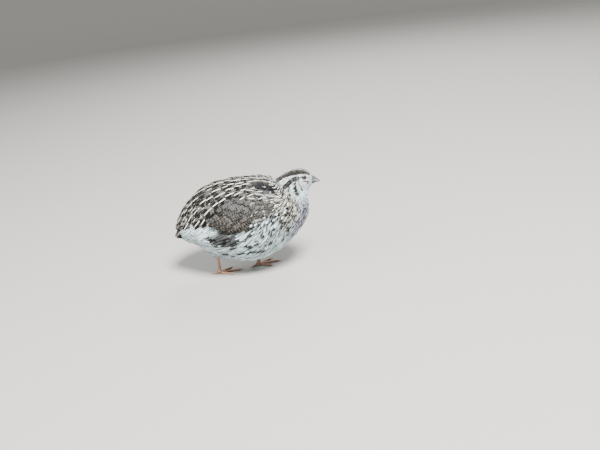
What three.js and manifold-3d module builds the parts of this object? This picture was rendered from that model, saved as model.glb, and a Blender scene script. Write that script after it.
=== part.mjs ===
// A life-size coturnix quail in mid step, left foot ahead, head level and looking straight on.
// Millimetres, +Z up. The bill points along +X, the bird's left is +Y, and the soles stand on Z = 0.
// The origin is the middle of the bird's length, under its body.
import * as THREE from "three";
import { mergeVertices } from "three/addons/utils/BufferGeometryUtils.js";
import Module from "manifold-3d";

const wasm = await Module();
wasm.setup();

const rad = THREE.MathUtils.degToRad;

// Driving dimensions
const LENGTH = 171.4; // bill tip to tail tip, in this pose
const GAP = 0.3; // between pieces that touch
const BILL_TIP_X = LENGTH / 2;
const TAIL_TIP_X = -LENGTH / 2;
const BILL_BASE_X = 76.8;

const COLOURS = {
  plumage: 0xb9b4aa,
  crown: 0x8d867b,
  belly: 0xdfe2e2,
  wing: 0x9a9083,
  tail: 0x8b8378,
  bill: 0xb9b6ae,
  eye: 0x17120f,
  leg: 0xc08a76,
  claw: 0x8f7f72,
};

// The body is one loft. Each station joins a point of the back to a point of the underside, in the plane Y = 0.
// half is half the width across, and wide moves the widest line up (+) or down (-) the section.
const STATIONS = [
  { at: "under the tail", top: [-78.8, 57], bottom: [-77.5, 49], half: 4.5, wide: 0 },
  { at: "tail coverts", top: [-76.9, 65], bottom: [-74.6, 43.6], half: 11.5, wide: 0.1 },
  { at: "rump", top: [-72.6, 76.6], bottom: [-68, 39.8], half: 19.5, wide: 0.05 },
  { at: "vent", top: [-63.6, 87.2], bottom: [-57.6, 36.6], half: 26, wide: 0 },
  { at: "lower back", top: [-50, 98], bottom: [-47, 29.5], half: 33, wide: 0 },
  { at: "saddle", top: [-34, 104.8], bottom: [-33, 20.5], half: 37.5, wide: 0 },
  { at: "belly", top: [-18, 108], bottom: [-15, 15.2], half: 39.4, wide: 0 },
  { at: "middle of the back", top: [-2, 108.6], bottom: [5, 13.4], half: 40, wide: 0 },
  { at: "mantle", top: [12, 108.4], bottom: [25, 20], half: 39.2, wide: 0 },
  { at: "shoulder", top: [22, 107.2], bottom: [43, 30.8], half: 36.6, wide: 0 },
  { at: "upper breast", top: [30, 104.8], bottom: [58.5, 45.8], half: 31.6, wide: -0.04 },
  { at: "nape", top: [36, 102.9], bottom: [69, 63.8], half: 24.5, wide: -0.08 },
  { at: "throat", top: [41.5, 105.2], bottom: [68, 81.6], half: 16.6, wide: -0.05 },
  { at: "back of the head", top: [48.5, 109.4], bottom: [69.8, 85.6], half: 12.8, wide: 0 },
  { at: "crown", top: [58, 112], bottom: [72, 89.2], half: 11.9, wide: 0.12 },
  { at: "brow", top: [67.5, 111.4], bottom: [74.4, 92], half: 10.4, wide: 0.25 },
  { at: "forehead", top: [73.8, 108], bottom: [75.8, 94], half: 7.9, wide: 0.15 },
  { at: "base of the bill", top: [BILL_BASE_X, 105], bottom: [BILL_BASE_X, 95], half: 5.2, wide: 0 },
];
const BODY_ROWS = 48;
const BODY_AROUND = 28;

// Station numbers of the cuts that part the body
const HEAD_CUT = 12.35;
const NECK_CUT = 10.6;
const TAIL_CUT = 2.1;

// Eye, by its station and its angle from the crown
const EYE_STATION = 15.15;
const EYE_ANGLE = rad(80);
const EYE_RADIUS = 3.1;
const EYE_DEPTH = 2.3; // from the skin to the eye's centre
const LID = { radius: 2.75, thick: 0.6, flat: 0.86, slope: rad(12), sunk: 0.2 };
// Corner of the mouth, a slit along the face. from and to are its ends in X and Y.
const MOUTH = { from: [71.2, 9.4], to: [77.6, 4.6], z: 98.8, height: 0.5, depth: 0.9 };

// Bill, from its flat base to its tip, parted by the mouth into an upper and a lower mandible
const BILL = [
  { x: BILL_BASE_X + GAP, top: 104.5, bottom: 94.9, half: 4.4 },
  { x: 80, top: 102.7, bottom: 95.9, half: 3.5 },
  { x: 83, top: 100.3, bottom: 96.5, half: 2.2 },
  { x: 84.8, top: 98.8, bottom: 96.7, half: 1.2 },
  { x: BILL_TIP_X, top: 97.5, bottom: 96.8, half: 0.35 },
];
const MOUTH_SLOPE = rad(-9);
const LOWER_TIP_X = 84.7;
const NOSTRIL = { at: [79.2, 3.3, 101.8], radii: [1, 0.5, 0.38], slope: rad(-26) };

// Wings. Stations run from the shoulder (front) to the wing tip (rear), and angles in degrees from the back
// down the side. thick is how far the folded wing stands out, and least how far its feathers do at its edge.
const WING = { front: 10.1, rear: 3.5, centre: 60, drop: 8, spread: 28, thick: 2.8, least: 1.6 };

// Vanes. A blade is rootWidth of its full width at the root, full at widest, and blunt at its tip. It thins by
// taper on the way, leans by tilt across its width, and its root is sunk in.
const VANE = {
  rows: 5, around: 6, thick: 0.95, sink: 1.3, tilt: 0.15,
  rootWidth: 0.6, widest: 0.6, bluntness: 0.42, taper: 0.35,
};

// Each tier runs from its top vane to its bottom vane. root and tip are stations, above and end are their
// angles, and lie is how far the tips stand off what is under them.
const WING_TIERS = [
  {
    of: "primaries", count: 5, half: 3.1, lie: 0,
    root: [5.6, 5.9], tip: [2.75, 3.7], above: [66, 82], end: [77, 90],
  },
  {
    of: "secondaries", count: 7, half: 3.5, lie: 0.9,
    root: [6.2, 6.8], tip: [2.6, 4.5], above: [44, 80], end: [58, 92],
  },
  {
    of: "greater coverts", count: 7, half: 3.5, lie: 1.3,
    root: [7.5, 7.8], tip: [5, 5.7], above: [40, 80], end: [44, 89],
  },
  {
    of: "median coverts", count: 6, half: 3.8, lie: 1.6,
    root: [8.8, 8.9], tip: [6.9, 7.1], above: [44, 76], end: [42, 85],
  },
];

// Tail, as fans of vanes round the end of the body. root and tip are the middle vane's ends in X and Z,
// rootSpread and spread half the fan's width there, and out the way its outer face looks. The outermost vanes
// end sooner by shorten and lie lower by droop.
const FANS = [
  {
    of: "tail feathers", count: 9, half: 3.4, root: [-70, 69.5], tip: [TAIL_TIP_X, 47.6],
    rootSpread: 6, spread: 12, out: [-0.82, 0.57], shorten: 4, droop: 2.6,
  },
  {
    of: "upper coverts", count: 7, half: 3.6, root: [-70.4, 76], tip: [-82.4, 57.6],
    rootSpread: 7.5, spread: 12, out: [-0.84, 0.54], shorten: 3, droop: 3.6,
  },
  {
    of: "rump edge", count: 7, half: 3.8, root: [-69.4, 80.6], tip: [-78.8, 66],
    rootSpread: 9.5, spread: 14, out: [-0.84, 0.54], shorten: 2, droop: 4.4,
  },
  {
    of: "under coverts", count: 6, half: 3.8, root: [-68, 43.4], tip: [-83.6, 47.4],
    rootSpread: 8.5, spread: 10, out: [-0.24, -0.97], shorten: 3, droop: 2,
  },
];

// Legs. x and y place the ball of the foot, and turn is how far it toes in.
const RIGHT_FOOT = { side: -1, x: -39.4, y: -9, turn: 0.25, thighEnd: 22.6, lean: 1 };
const LEFT_FOOT = { side: 1, x: 3.6, y: 8, turn: -0.25, thighEnd: 10.6, lean: -2 };
const CUFF_RADII = [8.5, 6.8, 10]; // loose feathers round the top of each shank
const CUFF_RISE = 8; // from the cuff's lower edge to its middle
const CUFF_OUT = 1.5; // from the shank's middle to the cuff's, away from the other leg
const HOCK_Z = 27;
const SHIN_Z = 15;
const ANKLE_Z = 5;
const SHANK_RADII = [2.4, 1.8, 2.2];
const BALL_OF_FOOT = { z: 2, radius: 2.5 };
const TOES = [
  { name: "middle", turn: 0, length: 22, claw: 4.6, knuckle: 1.2 },
  { name: "inner", turn: 0.62, length: 15.5, claw: 4, knuckle: 1.2 },
  { name: "outer", turn: -0.56, length: 16.5, claw: 4, knuckle: 1.2 },
  { name: "hind", turn: 2.75, length: 6.5, claw: 3.4, knuckle: 2.6 },
];
const TOE_RADII = [1.5, 1.25, 1.1, 0.95];
const CLAW_RADII = [0.8, 0.6, 0.25];

// Curves through the stations: the back in X and Z, and the underside with the half width as its Y.
const through = (points) => new THREE.CatmullRomCurve3(points, false, "catmullrom");
const backLine = through(STATIONS.map((s) => new THREE.Vector3(s.top[0], s.wide, s.top[1])));
const underLine = through(STATIONS.map((s) => new THREE.Vector3(s.bottom[0], s.half, s.bottom[1])));

// The section through station number s, which may lie between two stations.
function section(s) {
  const share = s / (STATIONS.length - 1);
  const back = backLine.getPoint(share);
  const under = underLine.getPoint(share);
  const half = under.y;
  const wide = back.y;
  back.y = 0;
  under.y = 0;
  const centre = back.clone().add(under).multiplyScalar(0.5);
  const rise = back.clone().sub(centre);
  return { centre, rise, half, wide };
}

// A point of the body's surface. angle is 0 on the back, half a turn on the underside, positive to the left.
function onBody(s, angle, lift = 0) {
  const { centre, rise, half, wide } = section(s);
  const out = rise.clone().normalize();
  const up = Math.cos(angle) + wide * Math.sin(angle) ** 2;
  return centre
    .addScaledVector(rise, up)
    .addScaledVector(out, lift * Math.cos(angle))
    .add(new THREE.Vector3(0, (half + lift) * Math.sin(angle), 0));
}

// The way out, square to the body's surface
function outward(s, angle) {
  const step = 0.02;
  const along = onBody(s + step, angle).sub(onBody(s - step, angle));
  const round = onBody(s, angle + step).sub(onBody(s, angle - step));
  const normal = along.cross(round).normalize();
  const outer = onBody(s, angle, 1).sub(onBody(s, angle));
  return normal.dot(outer) > 0 ? normal : normal.negate();
}

// A closed loft: rows of points from one end to the other, each end drawn in to one point.
function loft(rows, around, place) {
  const geometry = new THREE.SphereGeometry(1, around, rows + 1);
  const position = geometry.getAttribute("position");
  const uv = geometry.getAttribute("uv");
  for (let i = 0; i < position.count; i++) {
    const row = Math.round((1 - uv.getY(i)) * (rows + 1));
    const inner = Math.min(Math.max(row, 1), rows);
    const share = (inner - 1) / (rows - 1);
    const step = Math.round(uv.getX(i) * around) % around;
    const angle = (step / around) * 2 * Math.PI;
    const point = row === inner ? place(share, angle) : middleOf(share, around, place);
    position.setXYZ(i, point.x, point.y, point.z);
  }
  return geometry;
}

function middleOf(share, around, place) {
  const sum = new THREE.Vector3();
  for (let k = 0; k < around; k++) sum.add(place(share, (k / around) * 2 * Math.PI));
  return sum.multiplyScalar(1 / around);
}

// A solid from a closed three.js geometry, turned so that its faces point out.
function solid(geometry, matrix = new THREE.Matrix4()) {
  const bare = new THREE.BufferGeometry();
  bare.setAttribute("position", geometry.getAttribute("position").clone());
  bare.setIndex(geometry.getIndex());
  bare.applyMatrix4(matrix);
  const merged = mergeVertices(bare, 1e-4);
  const index = merged.getIndex().array;
  const faces = [];
  for (let i = 0; i < index.length; i += 3) {
    const [a, b, c] = index.slice(i, i + 3);
    if (a !== b && b !== c && a !== c) faces.push(a, b, c);
  }
  const make = (triVerts) =>
    new wasm.Manifold(
      new wasm.Mesh({
        numProp: 3,
        vertProperties: merged.getAttribute("position").array,
        triVerts: new Uint32Array(triVerts),
      }),
    );
  const made = make(faces);
  return made.volume() > 0 ? made : make(faces.reverse());
}

const ball = (centre, radius, across = 14, down = 10) =>
  solid(new THREE.SphereGeometry(radius, across, down), new THREE.Matrix4().setPosition(centre));

// A round-ended tube along a smooth line through points, with a radius at each of radii, spaced evenly.
function tube(points, radii, around = 8, rows = 7) {
  const path = new THREE.CatmullRomCurve3(points);
  return solid(
    loft(rows, around, (share, angle) => {
      const place = share * (radii.length - 1);
      const k = Math.min(Math.floor(place), radii.length - 2);
      const radius = THREE.MathUtils.lerp(radii[k], radii[k + 1], place - k);
      const along = path.getTangent(share);
      const side = new THREE.Vector3(-along.y, along.x, 0);
      if (side.lengthSq() < 0.01) side.set(0, 1, 0);
      side.normalize();
      const up = new THREE.Vector3().crossVectors(along, side).normalize();
      return path
        .getPoint(share)
        .addScaledVector(side, radius * Math.cos(angle))
        .addScaledVector(up, radius * Math.sin(angle));
    }),
  );
}

// A thin blade along a line. place(share) gives a point of the line and the blade's outward normal there.
function vane(place, half, tilt) {
  const width = (share) => {
    const past = (share - VANE.widest) / VANE.bluntness;
    if (past > 0) return half * Math.sqrt(1 - past ** 2);
    const grown = Math.sin((share / VANE.widest) * (Math.PI / 2));
    return half * THREE.MathUtils.lerp(VANE.rootWidth, 1, grown);
  };
  return solid(
    loft(VANE.rows, VANE.around, (share, angle) => {
      const { point, normal } = place(share);
      const along = place(share + 0.02).point.sub(place(share - 0.02).point).normalize();
      const across = new THREE.Vector3().crossVectors(along, normal).normalize();
      const out = width(share) * Math.cos(angle);
      const thick = (VANE.thick / 2) * Math.sin(angle) * (1 - VANE.taper * share);
      return point.addScaledVector(across, out).addScaledVector(normal, thick + tilt * out);
    }),
  );
}

// A large block whose face stands at point, on the side that direction points to.
function beyond(point, direction, thickness = 400) {
  const size = 400;
  const turn = new THREE.Quaternion().setFromUnitVectors(new THREE.Vector3(0, 0, 1), direction);
  const place = new THREE.Matrix4().makeRotationFromQuaternion(turn);
  place.setPosition(point.clone().addScaledVector(direction, thickness / 2));
  return solid(new THREE.BoxGeometry(size, size, thickness), place);
}

const UP = new THREE.Vector3(0, 0, 1);
const DOWN = new THREE.Vector3(0, 0, -1);
const above = (z) => beyond(new THREE.Vector3(0, 0, z), UP);
const below = (z) => beyond(new THREE.Vector3(0, 0, z), DOWN);

// The way from tail to bill, square to the section at station number s
function onward(s) {
  const { rise } = section(s);
  return new THREE.Vector3(rise.z, 0, -rise.x).normalize();
}

// A thin block that parts the body at station number s
function slab(s) {
  const direction = onward(s);
  return beyond(section(s).centre.addScaledVector(direction, -GAP / 2), direction, GAP);
}

const bird = new THREE.Group();

// Adds the largest closed surface of a solid to the bird, as a named mesh.
function add(name, made, colour, roughness = 0.85) {
  const pieces = made.decompose().sort((a, b) => b.volume() - a.volume());
  const data = pieces[0].getMesh();
  const geometry = new THREE.BufferGeometry();
  geometry.setAttribute("position", new THREE.BufferAttribute(data.vertProperties, 3));
  geometry.setIndex(new THREE.BufferAttribute(data.triVerts, 1));
  geometry.computeVertexNormals();
  const material = new THREE.MeshStandardMaterial({ color: colour, roughness, metalness: 0 });
  const mesh = new THREE.Mesh(geometry, material);
  mesh.name = name;
  bird.add(mesh);
}

const word = (side) => (side > 0 ? "left" : "right");
const join = (pieces) => pieces.reduce((all, piece) => all.add(piece));

// The whole body, and the same a little larger, which keeps what lies on it clear
const lastStation = STATIONS.length - 1;
const bodyLoft = (lift) =>
  loft(BODY_ROWS, BODY_AROUND, (share, angle) => onBody(share * lastStation, angle, lift));
const grownBody = solid(bodyLoft(GAP * 1.3));
const [tailBlank, torso, neck, headBlank] = solid(bodyLoft(0))
  .subtract(slab(TAIL_CUT))
  .subtract(slab(NECK_CUT))
  .subtract(slab(HEAD_CUT))
  .decompose()
  .sort((a, b) => a.boundingBox().min[0] - b.boundingBox().min[0]);

// Place along a feather that lies on the body: stations and angles go evenly from root to tip.
function lying(side, root, tip, lift) {
  return (share) => {
    const s = THREE.MathUtils.lerp(root.s, tip.s, share);
    const angle = side * rad(THREE.MathUtils.lerp(root.angle, tip.angle, share));
    const point = onBody(s, angle, lift(share, s, angle));
    return { point, normal: outward(s, angle) };
  };
}

// How far the folded wing stands out from the body at a station and an angle
function wingLift(s, angle) {
  const share = (WING.front - s) / (WING.front - WING.rear);
  if (share <= 0 || share >= 1) return 0;
  const across = (Math.abs(angle) - rad(WING.centre + WING.drop * share)) / rad(WING.spread);
  const edge = Math.sin(Math.PI * share) ** 0.7;
  if (Math.abs(across) >= edge) return 0;
  return WING.thick * Math.sqrt(1 - (across / edge) ** 2) * Math.sin(Math.PI * share) ** 0.5;
}

// A feather rises from its sunk root and lies level over its outer third.
const lieAt = (share, lie) =>
  (VANE.sink + lie) * Math.sin(Math.min(Math.max(share, 0) * 1.5, 1) * (Math.PI / 2));

function wing(side) {
  const lens = loft(16, 10, (share, angle) => {
    const across = Math.cos(angle) * Math.sin(Math.PI * share) ** 0.7;
    const s = THREE.MathUtils.lerp(WING.front, WING.rear, share);
    const turn = rad(WING.centre + WING.drop * share + WING.spread * across);
    const lift = WING.thick * Math.sin(angle) * Math.sin(Math.PI * share) ** 0.5;
    return onBody(s, side * turn, lift);
  });
  const pieces = [solid(lens)];
  for (const tier of WING_TIERS) {
    for (let k = 0; k < tier.count; k++) {
      const part = ([from, to]) => THREE.MathUtils.lerp(from, to, k / (tier.count - 1));
      const root = { s: part(tier.root), angle: part(tier.above) };
      const tip = { s: part(tier.tip), angle: part(tier.end) };
      const lift = (share, s, angle) =>
        Math.max(wingLift(s, angle), WING.least) - VANE.sink + lieAt(share, tier.lie);
      pieces.push(vane(lying(side, root, tip, lift), tier.half, VANE.tilt * side));
    }
  }
  return join(pieces).subtract(grownBody);
}

add("torso", torso, COLOURS.plumage);
add("neck", neck, COLOURS.plumage);
add("wing_right", wing(-1), COLOURS.wing);
add("wing_left", wing(1), COLOURS.wing);

// Tail: the end of the body, with fans of tail feathers and coverts. The middle vane lies over its neighbours.
function fan({ count, half, root, tip, rootSpread, spread, out, shorten, droop }) {
  return Array.from({ length: count }, (_, k) => {
    const t = (k / (count - 1)) * 2 - 1;
    const short = shorten * t * t;
    const rise = (short * (root[1] - tip[1])) / (root[0] - tip[0]);
    const from = new THREE.Vector3(root[0], t * rootSpread, root[1]);
    const to = new THREE.Vector3(tip[0] + short, t * spread, tip[1] + rise);
    const normal = new THREE.Vector3(out[0], (4 * droop * t) / (rootSpread + spread), out[1]).normalize();
    const sunk = new THREE.Vector3(out[0], 0, out[1]).multiplyScalar(-droop * t * t);
    const place = (share) => ({ point: from.clone().lerp(to, share).add(sunk), normal: normal.clone() });
    return vane(place, half, VANE.tilt * t);
  });
}

function tail() {
  const ahead = onward(TAIL_CUT);
  const torsoSide = beyond(section(TAIL_CUT).centre.addScaledVector(ahead, -GAP / 2), ahead);
  return join([tailBlank, ...FANS.flatMap(fan)]).subtract(torsoSide.intersect(grownBody));
}
add("tail", tail(), COLOURS.tail);

// Head, with a socket, a ring of lid round each eye, and the corners of the mouth
const eyeCentre = (side, depth) =>
  onBody(EYE_STATION, side * EYE_ANGLE).addScaledVector(outward(EYE_STATION, side * EYE_ANGLE), -depth);

function lid(side) {
  const out = outward(EYE_STATION, side * EYE_ANGLE);
  const forward = new THREE.Vector3(Math.cos(LID.slope), 0, -Math.sin(LID.slope));
  const up = new THREE.Vector3().crossVectors(out, forward).normalize();
  const level = new THREE.Vector3().crossVectors(up, out);
  const place = new THREE.Matrix4().makeBasis(level, up.multiplyScalar(LID.flat), out);
  place.setPosition(eyeCentre(side, LID.sunk));
  return solid(new THREE.TorusGeometry(LID.radius, LID.thick, 6, 16), place);
}

function mouthCorner(side) {
  const from = new THREE.Vector3(MOUTH.from[0], side * MOUTH.from[1], MOUTH.z);
  const to = new THREE.Vector3(MOUTH.to[0], side * MOUTH.to[1], MOUTH.z);
  const along = to.clone().sub(from);
  const length = along.length();
  along.normalize();
  const place = new THREE.Matrix4().makeBasis(along, new THREE.Vector3().crossVectors(UP, along), UP);
  place.setPosition(from.lerp(to, 0.5));
  return solid(new THREE.BoxGeometry(length, 2 * MOUTH.depth, MOUTH.height), place);
}

let head = headBlank;
for (const side of [-1, 1]) {
  const centre = eyeCentre(side, EYE_DEPTH);
  head = head.add(lid(side)).subtract(ball(centre, EYE_RADIUS + GAP, 14, 8)).subtract(mouthCorner(side));
  add("eye_" + word(side), ball(centre, EYE_RADIUS, 16, 10), COLOURS.eye, 0.15);
}
add("head", head, COLOURS.crown);

// Bill: one form parted along the mouth, with a nostril slit on each side of the upper mandible
function bill() {
  const top = through(BILL.map((s) => new THREE.Vector3(s.x, s.half, s.top)));
  const bottom = through(BILL.map((s) => new THREE.Vector3(s.x, s.half, s.bottom)));
  return solid(
    loft(10, 16, (share, angle) => {
      const high = top.getPoint(share);
      const low = bottom.getPoint(share);
      const rise = (high.z - low.z) / 2;
      return new THREE.Vector3(high.x, high.y * Math.sin(angle), low.z + rise + rise * Math.cos(angle));
    }),
  );
}

const mouthUp = new THREE.Vector3(-Math.sin(MOUTH_SLOPE), 0, Math.cos(MOUTH_SLOPE));
const mouthPoint = (lift) => new THREE.Vector3(BILL_BASE_X, 0, MOUTH.z).addScaledVector(mouthUp, lift);
const tipCut = beyond(new THREE.Vector3(LOWER_TIP_X, 0, MOUTH.z), new THREE.Vector3(1, 0, 0));
let upper = bill().subtract(beyond(mouthPoint(GAP / 2), mouthUp.clone().negate()));
const lower = bill().subtract(beyond(mouthPoint(-GAP / 2), mouthUp)).subtract(tipCut);
for (const side of [-1, 1]) {
  const place = new THREE.Matrix4().makeRotationY(-NOSTRIL.slope);
  place.scale(new THREE.Vector3(...NOSTRIL.radii));
  place.setPosition(NOSTRIL.at[0], side * NOSTRIL.at[1], NOSTRIL.at[2]);
  upper = upper.subtract(solid(new THREE.SphereGeometry(1, 8, 6), place));
}
add("bill_upper", upper, COLOURS.bill, 0.45);
add("bill_lower", lower, COLOURS.bill, 0.45);

// Legs: a cuff of feathers, the bare shank, a foot with its toes, and their claws
function leg(foot) {
  const at = (dx, dy, z) => new THREE.Vector3(foot.x + dx, foot.y + dy, z);
  const which = word(foot.side);

  const cuff = new THREE.Matrix4().makeScale(...CUFF_RADII);
  cuff.setPosition(at(foot.lean, foot.side * CUFF_OUT, foot.thighEnd + CUFF_RISE));
  const thigh = solid(new THREE.SphereGeometry(1, 18, 12), cuff);
  add("thigh_" + which, thigh.subtract(below(foot.thighEnd)).subtract(grownBody), COLOURS.belly);

  const line = [at(foot.lean, 0, HOCK_Z), at(foot.lean / 2, 0, SHIN_Z), at(0, 0, BALL_OF_FOOT.z + 1)];
  const bone = tube(line, SHANK_RADII, 10, 6);
  const shank = bone
    .subtract(above(foot.thighEnd - GAP))
    .subtract(below(ANKLE_Z + GAP / 2))
    .subtract(grownBody);
  add("shank_" + which, shank, COLOURS.leg, 0.6);

  const toes = [bone, ball(at(0, 0, BALL_OF_FOOT.z), BALL_OF_FOOT.radius, 10, 8)];
  for (const { name, turn, length, claw, knuckle } of TOES) {
    const heading = -foot.side * (turn + foot.turn);
    const reach = (distance, z) => at(Math.cos(heading) * distance, Math.sin(heading) * distance, z);
    const joints = [reach(0, 2.6), reach(length * 0.3, knuckle), reach(length * 0.65, 1.15), reach(length, 1)];
    toes.push(tube(joints, TOE_RADII, 8, 5));
    const hook = [reach(length + GAP, 1.1), reach(length + claw * 0.5, 1.15), reach(length + claw, 0.4)];
    add(`claw_${which}_${name}`, tube(hook, CLAW_RADII, 6, 4), COLOURS.claw, 0.4);
  }
  const foothold = join(toes).subtract(above(ANKLE_Z - GAP / 2)).subtract(below(0));
  add("foot_" + which, foothold, COLOURS.leg, 0.6);
}

leg(RIGHT_FOOT);
leg(LEFT_FOOT);

export default bird;
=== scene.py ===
"""Life-size coturnix quail, pied and streaked, in mid step: skin, feathers, head, bill, feet and stage."""

import math

import bmesh
import bpy
import numpy as np
from bpy.props import FloatProperty, FloatVectorProperty, PointerProperty
from mathutils import Matrix, Vector
from mathutils.kdtree import KDTree


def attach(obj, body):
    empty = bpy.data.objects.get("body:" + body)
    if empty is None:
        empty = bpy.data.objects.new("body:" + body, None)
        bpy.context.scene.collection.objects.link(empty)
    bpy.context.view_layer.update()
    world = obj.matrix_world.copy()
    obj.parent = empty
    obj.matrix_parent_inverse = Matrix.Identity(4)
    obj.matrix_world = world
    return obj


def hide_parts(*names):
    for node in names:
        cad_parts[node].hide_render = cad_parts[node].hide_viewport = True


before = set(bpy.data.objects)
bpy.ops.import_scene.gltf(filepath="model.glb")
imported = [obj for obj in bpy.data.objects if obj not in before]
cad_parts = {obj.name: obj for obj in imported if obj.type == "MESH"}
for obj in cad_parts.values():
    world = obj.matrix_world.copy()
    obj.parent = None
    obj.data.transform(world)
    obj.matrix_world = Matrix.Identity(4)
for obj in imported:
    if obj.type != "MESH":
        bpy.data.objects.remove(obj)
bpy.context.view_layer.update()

bl_info = {
    "name": "Coturnix quail",
    "version": (1, 0, 0),
    "blender": (4, 5, 0),
    "location": "View3D > Sidebar > Quail",
    "description": "Builds a standing quail with its plumage around its solids",
    "category": "Add Mesh",
}

MM = 0.001
FAR = 1e9
WORDS = {-1: "right", 1: "left"}

# The body's stations, tail to bill, in millimetres: a point of the back (x, z), a point of the underside,
# half the width across, and how far up the section its widest line lies.
STATIONS = (
    ("under the tail", (-78.8, 57), (-77.5, 49), 4.5, 0),
    ("tail coverts", (-76.9, 65), (-74.6, 43.6), 11.5, 0.1),
    ("rump", (-72.6, 76.6), (-68, 39.8), 19.5, 0.05),
    ("vent", (-63.6, 87.2), (-57.6, 36.6), 26, 0),
    ("lower back", (-50, 98), (-47, 29.5), 33, 0),
    ("saddle", (-34, 104.8), (-33, 20.5), 37.5, 0),
    ("belly", (-18, 108), (-15, 15.2), 39.4, 0),
    ("middle of the back", (-2, 108.6), (5, 13.4), 40, 0),
    ("mantle", (12, 108.4), (25, 20), 39.2, 0),
    ("shoulder", (22, 107.2), (43, 30.8), 36.6, 0),
    ("upper breast", (30, 104.8), (58.5, 45.8), 31.6, -0.04),
    ("nape", (36, 102.9), (69, 63.8), 24.5, -0.08),
    ("throat", (41.5, 105.2), (68, 81.6), 16.6, -0.05),
    ("back of the head", (48.5, 109.4), (69.8, 85.6), 12.8, 0),
    ("crown", (58, 112), (72, 89.2), 11.9, 0.12),
    ("brow", (67.5, 111.4), (74.4, 92), 10.4, 0.25),
    ("forehead", (73.8, 108), (75.8, 94), 7.9, 0.15),
    ("base of the bill", (76.8, 105), (76.8, 95), 5.2, 0),
)
LAST = len(STATIONS) - 1
BACK = np.array([(top[0], wide, top[1]) for _, top, _, _, wide in STATIONS])
UNDER = np.array([(low[0], half, low[1]) for _, _, low, half, _ in STATIONS])
WING = {"front": 10.1, "rear": 3.5, "centre": 60, "drop": 8, "spread": 28, "thick": 2.8}

# By station: how deep the skin lies under the tips of the coat, and the length of a body feather
COAT_DEPTH = ((0, 2.4), (3, 2.8), (8, 2.6), (10, 2.2), (12, 1.5), (13.5, 1.0), (15, 0.75), (16.2, 0.5), (17, 0.3))
FEATHER_LENGTH = (
    (0, 12), (2, 14), (4, 16), (6, 16), (8, 14), (9, 12.5), (10, 10.5), (11, 8.2), (12, 6.2),
    (13, 4.6), (14, 3.5), (15, 2.7), (16, 2.1), (17, 1.5),
)

EYE = {"station": 15.15, "angle": 80, "radius": 3.1, "depth": 2.3}
OPENING = {"long": 2.15, "high": 1.62, "slope": 12}
# How far out from the opening's middle the socket starts to sink and ends, in half openings, and its depth
SOCKET = {"rim": (0.95, 1.5), "depth": 4.6}


def srgb(code):
    """Linear colour of a hex code."""
    parts = [((code >> shift) & 255) / 255 for shift in (16, 8, 0)]
    return tuple(c / 12.92 if c <= 0.04045 else ((c + 0.055) / 1.055) ** 2.4 for c in parts)


def linear(**codes):
    """A table of linear colours. An underscore stands for a space."""
    return {name.replace("_", " "): srgb(code) for name, code in codes.items()}


PALETTE = linear(
    white=0xE8FAFE, blue_white=0xDCF1F7, face_white=0xE1ECEC, lilac_white=0xA8A7B7, cream=0xF2EFE4,
    sand=0x716B5E, buff=0x766C5D, tan=0x4C3F33, stone=0x555450, grey=0x3B3A3A, lilac_grey=0x4A4B4E,
    grey_brown=0x3A3734, brown=0x3A332E, dark_brown=0x191614, slate=0x1B1B20, ink=0x080707, pink_brown=0x9A7E6C,
)
COLOUR = {name: np.array(value) for name, value in PALETTE.items()}
# crease is painted shade, for the grooves between the scales
LEG_COLOURS = linear(flesh=0xB8917C, shaded_flesh=0x9A6D59, crease=0x735144)
# nostril is painted shade: near black for the hollow of the nostril's slit
BILL_COLOURS = linear(base=0x5B656A, tip=0xACA69E, ridge=0x33312F, nostril=0x1C1817)
# fold is painted shade, for the grooves of the lids' wrinkles
LID_COLOURS = linear(fold=0x3F3C3C, skin=0x7C7B7A)
EYE_COLOURS = linear(pupil=0x040303, iris=0x24150E, iris_edge=0x100A08)
CLAW_COLOURS = linear(dark=0x8E7B6D, light=0xB9A593)
# What the sidebar sets
SIZES = {"feather_length": 1.0, "feather_width": 1.0, "streak_width": 0.125, "floor_radius": 3.0, "floor_tone": 0.35}


def table(pairs, at):
    """Straight-line reading of a small table of (place, value)."""
    places, values = zip(*pairs)
    return np.interp(at, places, values)


def smooth(low, high, x):
    t = np.clip((np.asarray(x, float) - low) / (high - low), 0, 1)
    return t * t * (3 - 2 * t)


def band(x, low, high, soft):
    """1 between low and high, fading to 0 over soft on each side."""
    return smooth(low - soft, low + soft, x) * (1 - smooth(high - soft, high + soft, x))


def norm(vectors):
    return np.linalg.norm(vectors, axis=-1)


def unit(vectors):
    return vectors / norm(vectors)[..., None]


def degrees(a):
    """Degrees away from the back, on either side."""
    return np.degrees(np.abs(a))


# The body's surface. s is a station number and a the angle from the back, positive to the left, in radians.
END_MARGIN = 0.06
STEP_S = 0.05
STEP_A = 0.02
LEAST_GIRTH = 4


def through(points, s):
    """A smooth curve through points, at s counted in points."""
    last = len(points) - 1
    i = np.clip(np.floor(s).astype(int), 0, last - 1)
    t = (s - i)[..., None]
    ends = np.vstack([2 * points[0] - points[1], points, 2 * points[-1] - points[-2]])
    before, start, end, after = (ends[i + k] for k in range(4))
    out = (end - before) / 2
    into = (after - start) / 2
    cubic = 2 * start - 2 * end + out + into
    square = 3 * end - 3 * start - 2 * out - into
    return ((cubic * t + square) * t + out) * t + start


def wing_lift(s, a):
    """How far the folded wing stands out from the body."""
    share = (WING["front"] - s) / (WING["front"] - WING["rear"])
    inside = np.sin(np.pi * np.clip(share, 0, 1))
    edge = np.maximum(inside, 1e-6) ** 0.7
    across = (degrees(a) - WING["centre"] - WING["drop"] * share) / WING["spread"]
    dome = np.sqrt(np.clip(1 - (across / edge) ** 2, 0, 1))
    return WING["thick"] * dome * np.sqrt(inside)


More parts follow.
